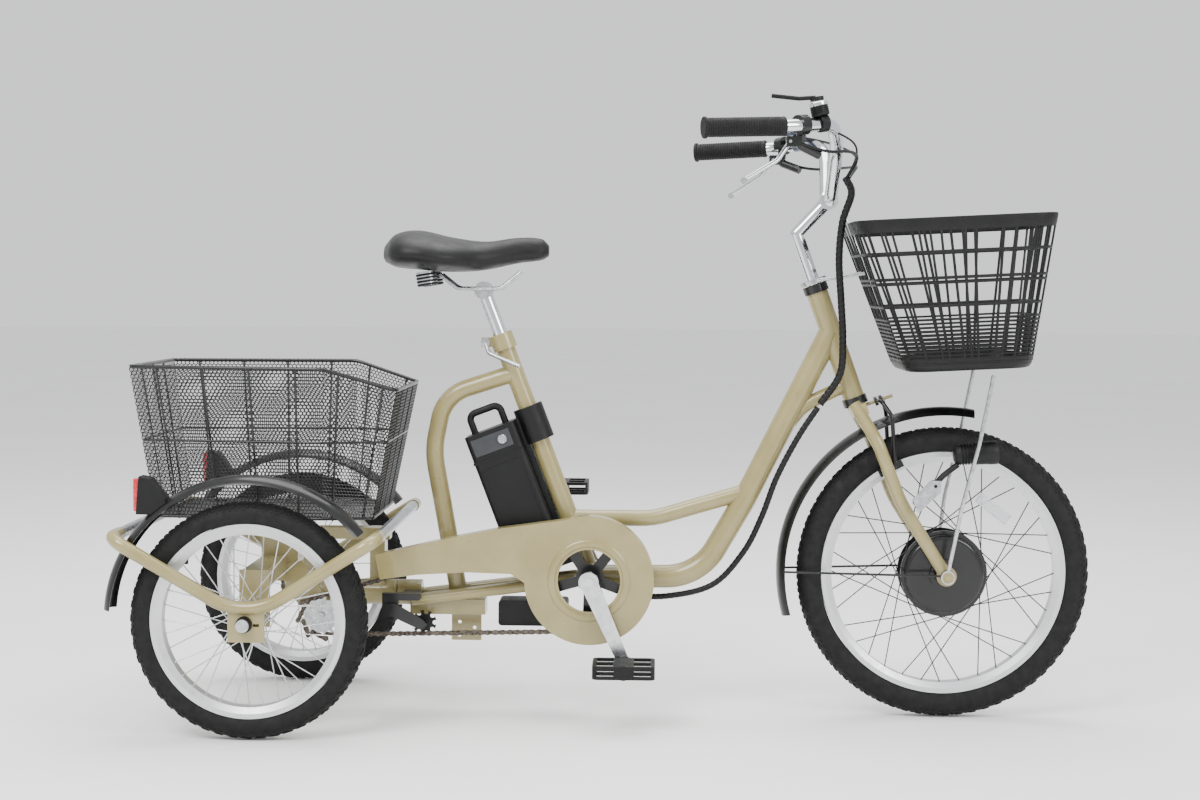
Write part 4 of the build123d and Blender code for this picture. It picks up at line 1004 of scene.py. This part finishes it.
def makeLooms():
    def wrapped(radius):
        def radiusAt(distance, angle):
            phase = (distance / loomWork["turn"] - angle / (2 * math.pi)) % 1.0
            edge = max(0.0, 1.0 - abs(phase - 0.5) / 0.14)
            return radius * (1.0 - loomWork["groove"] * edge)
        return radiusAt

    form = sweptTube(smoothLine(loomWork["steer"], loomWork["step"]), wrapped(6.3), loomWork["sides"])
    mesh = bpy.data.meshes.new("steerLoomWrap")
    form.to_mesh(mesh)
    form.free()
    steer = bpy.data.objects.new("steerLoomWrap", mesh)
    scene.collection.objects.link(steer)
    mesh.materials.append(finish["cableJacket"])
    mesh.shade_smooth()
    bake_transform(steer)
    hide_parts("steer_loom")
    form = sweptTube(smoothLine(loomWork["frame"], loomWork["step"]), wrapped(5.3), loomWork["sides"])
    low = place("frameLoomWrap", form, "frame", finish["cableJacket"])
    low.data.shade_smooth()
    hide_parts("frame_loom")


makeLooms()
print("looms")


def easedBox(form, low, high, ease, segments=2):
    # An upright box between two corners with rounded edges.
    made = bmesh.ops.create_cube(form, size=1.0)
    size = [(b - a) * mm for a, b in zip(low, high)]
    centre = [(a + b) / 2 * mm for a, b in zip(low, high)]
    for vertex in made["verts"]:
        vertex.co = Vector([vertex.co[k] * size[k] + centre[k] for k in range(3)])
    edges = list({e for v in made["verts"] for e in v.link_edges})
    bmesh.ops.bevel(form, geom=edges, offset=ease * mm, segments=segments, affect="EDGES", profile=0.7)


def turned(form, base, along, profile, segments=32):
    # A turned piece: profile is (distance along, radius) from a base point.
    axis = Vector(along).normalized()
    side = axis.orthogonal().normalized()
    up = axis.cross(side)
    rows = []
    for distance, radius in profile:
        centre = Vector(base) + axis * distance
        if radius < 0.01:
            rows.append([form.verts.new(centre * mm)])
            continue
        rows.append([form.verts.new((centre + (side * math.cos(t) + up * math.sin(t)) * radius) * mm)
                     for t in (2 * math.pi * j / segments for j in range(segments))])
    for a, b in zip(rows, rows[1:]):
        for j in range(segments):
            n = (j + 1) % segments
            if len(a) == 1:
                form.faces.new([a[0], b[n], b[j]])
            elif len(b) == 1:
                form.faces.new([a[j], a[n], b[0]])
            else:
                form.faces.new([a[j], a[n], b[n], b[j]])


# Tail lamps: a black wedge housing with a framed red lens on its rear face
def makeTailLamps():
    house, lens = bmesh.new(), bmesh.new()
    for side in (-1, 1):
        y = 245.0 * side
        outline = [(-764, 366), (-759, 428), (-740, 424), (-716, 392), (-714, 380), (-726, 365)]
        left = [house.verts.new((x * mm, (y - 15) * mm, z * mm)) for x, z in outline]
        right = [house.verts.new((x * mm, (y + 15) * mm, z * mm)) for x, z in outline]
        faces = [house.faces.new(left), house.faces.new(right[::-1])]
        for k in range(len(outline)):
            n = (k + 1) % len(outline)
            faces.append(house.faces.new([left[n], left[k], right[k], right[n]]))
        edges = list({e for f in faces for e in f.edges})
        bmesh.ops.bevel(house, geom=edges, offset=2.2 * mm, segments=3, affect="EDGES", profile=0.7)
        easedBox(lens, (-768.0, y - 13.5, 371.0), (-756.0, y + 13.5, 424.0), 2.5, 3)
    bmesh.ops.recalc_face_normals(house, faces=house.faces)
    piece = place("tailLampHousings", house, "carriage", finish["mouldedPlastic"])
    smoothFaces(piece, 30.0)
    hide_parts("tail_lamps")
    glass = place("tailLampLenses", lens, "carriage", finish["redLens"])
    smoothFaces(glass, 30.0)


makeTailLamps()


# Headlamp: a finned black body, a clear front glass and its swan neck
def makeHeadlamp():
    base, along = Vector((574.0, -76.0, 460.0)), Vector((74.0, 0.0, 5.3))
    form = bmesh.new()
    profile = [(0, 0), (0, 11), (2, 14.5), (7, 17.5)]
    for k in range(5):
        start = 11 + 5 * k
        profile += [(start, 18.0), (start + 0.6, 16.6), (start + 2.6, 16.6), (start + 3.2, 18.4)]
    profile += [(40, 19.0), (56, 19.2), (60, 20.0), (72, 20.0), (73.6, 19.2), (73.6, 17.0), (70, 16.5), (69, 0)]
    turned(form, base, along, profile)
    neck = pathTube([(582, -76, 444), (566, -76, 432), (552, -76, 420), (545, -76, 409)], 5.0)
    form.from_mesh(neck)
    turned(form, (543.0, -83.0, 408.0), (0, 1, 0), [(0, 0), (0, 8.4), (1, 9), (12, 9), (13, 8.4), (13, 0)])
    turned(form, (543.0, -90.5, 408.0), (0, 1, 0), [(0, 0), (0, 2.9), (8, 2.9), (8, 0)], 12)
    bmesh.ops.recalc_face_normals(form, faces=form.faces)
    piece = place("headlampBody", form, "lamp", finish["mouldedPlastic"])
    smoothFaces(piece, 30.0)
    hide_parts("headlamp")
    form = bmesh.new()
    turned(form, base, along, [(69.4, 0), (69.4, 15.8), (71.0, 16.4), (73.2, 15.8), (74.6, 11), (75.2, 5), (75.4, 0)])
    bmesh.ops.recalc_face_normals(form, faces=form.faces)
    glass = place("headlampGlass", form, "lamp", finish["clearPolycarbonate"])
    smoothFaces(glass, 40.0)


makeHeadlamp()
print("lamps")


# Grips: black rubber with close rings, a longer smooth thumb zone and an end flange
def makeGrips():
    form = bmesh.new()
    for side in (-1, 1):
        end, inner = Vector((145.0, side * 288.0, 988.0)), Vector((285.0, side * 252.0, 994.0))
        profile = [(-3.4, 0), (-3.4, 16.0), (-2.4, 17.4), (1.6, 17.4), (2.8, 15.4)]
        for k in range(28):
            start = 6.0 + k * 4.2
            profile += [(start, 14.7), (start + 1.0, 15.5), (start + 2.6, 15.5), (start + 3.4, 14.7)]
        profile += [(126.0, 15.6), (130.0, 15.6), (131.6, 14.4), (131.6, 11.2)]
        turned(form, end, inner - end, profile, 28)
    bmesh.ops.recalc_face_normals(form, faces=form.faces)
    piece = place("gripsRinged", form, "steering", finish["gripRubber"])
    smoothFaces(piece, 30.0)
    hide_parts("grips")


makeGrips()


# Bell enamels: the top disc is split between a strong red and a blue ground
def bellEnamel():
    material, tree, shader, coords = newMaterial("bellEnamel", "2A4C8C", 0.25)
    split = addNode(tree, "ShaderNodeTexVoronoi", {"Vector": coords}, in_Scale=1000.0 / 16.0)
    ramp = addNode(tree, "ShaderNodeValToRGB", {"Fac": split.outputs["Distance"]})
    ramp.color_ramp.interpolation = "CONSTANT"
    ramp.color_ramp.elements[0].color = linear("B02A33")
    ramp.color_ramp.elements[1].position = 0.45
    ramp.color_ramp.elements[1].color = linear("2A4C8C")
    tree.links.new(ramp.outputs["Color"], shader.inputs["Base Color"])
    shader.inputs["Coat Weight"].default_value = 0.8
    return material


finish["bellEnamel"] = bellEnamel()


def makeBell():
    base, along = Vector((333.0, -220.0, 1004.0)), Vector((-7.0, 0.0, 32.0))
    form = bmesh.new()
    turned(form, (339.5, -213.0, 1003.2), (-11, -7, -2), [(0, 11.2), (0, 14.2), (1, 15), (13, 15), (14, 14.2), (14, 11.2)])
    profile = [(9.0, 0), (9.0, 13.0), (10, 14.4)]
    for k in range(4):
        profile += [(12 + 3 * k, 14.9), (13.6 + 3 * k, 14.9), (14.2 + 3 * k, 14.2), (14.6 + 3 * k, 14.2)]
    profile += [(25.0, 14.6), (26.0, 0)]
    turned(form, base, along, profile, 40)
    bmesh.ops.recalc_face_normals(form, faces=form.faces)
    piece = place("bellBody", form, "steering", finish["mouldedPlastic"])
    smoothFaces(piece, 30.0)
    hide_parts("bell")
    form = bmesh.new()
    turned(form, base, along, [(25.2, 11), (25.2, 15.1), (27.0, 15.4), (30.4, 15.0), (31.6, 13.6), (31.0, 12.4), (29.6, 12.2)], 40)
    bmesh.ops.recalc_face_normals(form, faces=form.faces)
    ring = place("bellRing", form, "steering", finish["chromePlate"])
    smoothFaces(ring, 40.0)
    form = bmesh.new()
    turned(form, base, along, [(29.8, 12.4), (31.0, 9.0), (31.9, 5.0), (32.2, 0)], 40)
    bmesh.ops.recalc_face_normals(form, faces=form.faces)
    top = place("bellTop", form, "steering", finish["bellEnamel"])
    top.data.shade_smooth()


makeBell()
print("bar fittings")


# Rubber springs under the saddle: stacked rings of a soft black elastomer
def makeSprings():
    lowCorner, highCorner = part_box("saddle")
    baseX = lowCorner[0] / mm + 168.0
    form = bmesh.new()
    for side in (-1, 1):
        profile = [(0, 0), (0, 15.5)]
        for k in range(4):
            profile += [(1 + 5.6 * k, 17.9), (3.6 + 5.6 * k, 18.2), (4.8 + 5.6 * k, 16.2), (5.6 + 5.6 * k, 16.2)]
        profile += [(24.0, 16.0), (24.0, 0)]
        turned(form, (baseX - 92.0, side * 42.0, 737.5), (-4, 0, 24), profile, 28)
    bmesh.ops.recalc_face_normals(form, faces=form.faces)
    piece = place("saddleSprings", form, "seat", finish["gripRubber"])
    smoothFaces(piece, 30.0)


makeSprings()


# Caps over the rear axle ends, and the pressed ring round the chain case's opening
def makeCaps():
    form = bmesh.new()
    for side in (-1, 1):
        start = (-583.0, side * 279.0, 194.0)
        turned(form, start, (0, side, 0), [(0, 0), (0, 12.5), (3, 13.5), (14, 13.0), (19, 11.0), (21.5, 6.0), (22, 0)], 28)
    bmesh.ops.recalc_face_normals(form, faces=form.faces)
    caps = place("axleCaps", form, "carriage", finish["mouldedPlastic"])
    smoothFaces(caps, 35.0)
    form = bmesh.new()
    rings = []
    for radius, out in ((57.5, 0.2), (58.5, 1.8), (61.0, 2.6), (66.0, 2.6), (69.0, 1.6), (70.5, 0.2)):
        rings.append([Vector((bracketX + radius * math.cos(t), -82.0 - out, bracketZ + radius * math.sin(t)))
                      for t in (2 * math.pi * k / 96 for k in range(96))])
    sweptLoops(form, rings)
    bmesh.ops.recalc_face_normals(form, faces=form.faces)
    ring = place("chainCaseRing", form, "frame", finish["khakiEnamel"])
    smoothFaces(ring, 40.0)


makeCaps()


# Wheel reflector: a clear prism bar clipped between the spokes
def makeReflectors():
    form = bmesh.new()
    centre = axles["front"]
    for turn in (52.0,):
        a = math.radians(turn)
        radial = Vector((math.cos(a), 0, math.sin(a)))
        across = Vector((-math.sin(a), 0, math.cos(a)))
        middle = Vector(centre) + radial * 140.0
        start = len(form.verts)
        easedBox(form, (-32.0, -6.0, -10.0), (32.0, 6.0, 10.0), 2.4, 3)
        form.verts.ensure_lookup_table()
        for vertex in form.verts[start:]:
            p = vertex.co / mm
            vertex.co = (middle + across * p.x + Vector((0, 1, 0)) * p.y + radial * p.z) * mm
    bmesh.ops.recalc_face_normals(form, faces=form.faces)
    piece = place("spokeReflector", form, "wheel_front", finish["clearPolycarbonate"])
    smoothFaces(piece, 30.0)


makeReflectors()


# Cables from the bar's fittings into the loom, in smooth falling curves
def makeCables():
    routes = [
        [(300, -233, 968), (338, -214, 955), (382, -165, 962), (404, -115, 958), (396, -88, 936), (386, -79, 920)],
        [(300, 233, 968), (340, 212, 952), (398, 120, 950), (416, 20, 948), (404, -50, 938), (390, -78, 920)],
        [(334, -206, 998), (378, -170, 985), (402, -120, 970), (398, -92, 942), (385, -82, 921)],
        [(322, 205, 1012), (372, 150, 1000), (412, 60, 975), (412, -30, 952), (392, -82, 922)],
    ]
    meshes = [pathTube(route, radius) for route, radius in zip(routes, (2.5, 2.5, 1.8, 2.2))]
    form = joined(meshes)
    piece = place("barCables", form, "steering", finish["cableJacket"])
    smoothFaces(piece, 40.0)


makeCables()
print("small fittings")


# Battery trim: raised side panels, a seam band, a grey head and the key lock
batteryWork = {"lean": 21.0, "footZ": 277.0, "tubeD": 33.0, "deep": 91.0, "wide": 80.0, "long": 252.0, "start": 10.5}


def batteryPoint(back, across, up):
    # A place on the battery from its own foot, in millimetres
    lean = math.radians(batteryWork["lean"])
    footX = bracketX - (batteryWork["footZ"] - bracketZ) * math.tan(lean) - batteryWork["tubeD"] / 2 / math.cos(lean)
    x = footX - back * math.cos(lean) - up * math.sin(lean)
    return Vector((x, across, batteryWork["footZ"] - back * math.sin(lean) + up * math.cos(lean)))


def batteryBox(form, low, high, ease, segments=2):
    start = len(form.verts)
    easedBox(form, low, high, ease, segments)
    form.verts.ensure_lookup_table()
    for vertex in form.verts[start:]:
        p = vertex.co / mm
        vertex.co = batteryPoint(p.x, p.y, p.z) * mm


def makeBatteryTrim():
    start, end = batteryWork["start"], batteryWork["start"] + batteryWork["deep"]
    half, long = batteryWork["wide"] / 2, batteryWork["long"]
    form = bmesh.new()
    for side in (-1, 1):
        low, high = sorted((side * (half - 1.0), side * (half + 1.2)))
        batteryBox(form, (start + 12, low, 16), (end - 12, high, long - 62), 1.0)
    batteryBox(form, (start + 4, -half - 0.8, long - 50), (end + 0.8, half + 0.8, long - 46), 0.7)
    batteryBox(form, (start + 4, -half - 0.8, 6), (end + 0.8, half + 0.8, 10), 0.7)
    bmesh.ops.recalc_face_normals(form, faces=form.faces)
    piece = place("batteryTrim", form, "battery_pack", finish["mouldedPlastic"])
    smoothFaces(piece, 30.0)
    form = bmesh.new()
    batteryBox(form, (start + 14, -half - 1.0, long - 38), (end - 8, half + 1.0, long - 8), 1.0)
    bmesh.ops.recalc_face_normals(form, faces=form.faces)
    head = place("batteryHead", form, "battery_pack", finish["headPlastic"])
    smoothFaces(head, 30.0)
    form = bmesh.new()
    lock = batteryPoint(start + 30, -half - 1.2, long - 23)
    turned(form, lock, (0, -1, 0), [(0, 0), (0, 8.0), (1.6, 8.4), (3.0, 7.2), (3.0, 5.4), (2.2, 5.0), (2.2, 0)], 28)
    bmesh.ops.recalc_face_normals(form, faces=form.faces)
    key = place("batteryLock", form, "battery_pack", finish["zincSteel"])
    smoothFaces(key, 30.0)


# Charcoal head moulding, a shade lighter than the pack
def headPlastic():
    material, tree, shader, coords = newMaterial("headPlastic", "2B2D30", 0.45)
    variedColour(tree, shader, coords, "282A2D", "313336", 30.0)
    surfaceGrain(tree, shader, coords, 0.9, 0.2)
    return material


finish["headPlastic"] = headPlastic()


makeBatteryTrim()
print("battery trim")
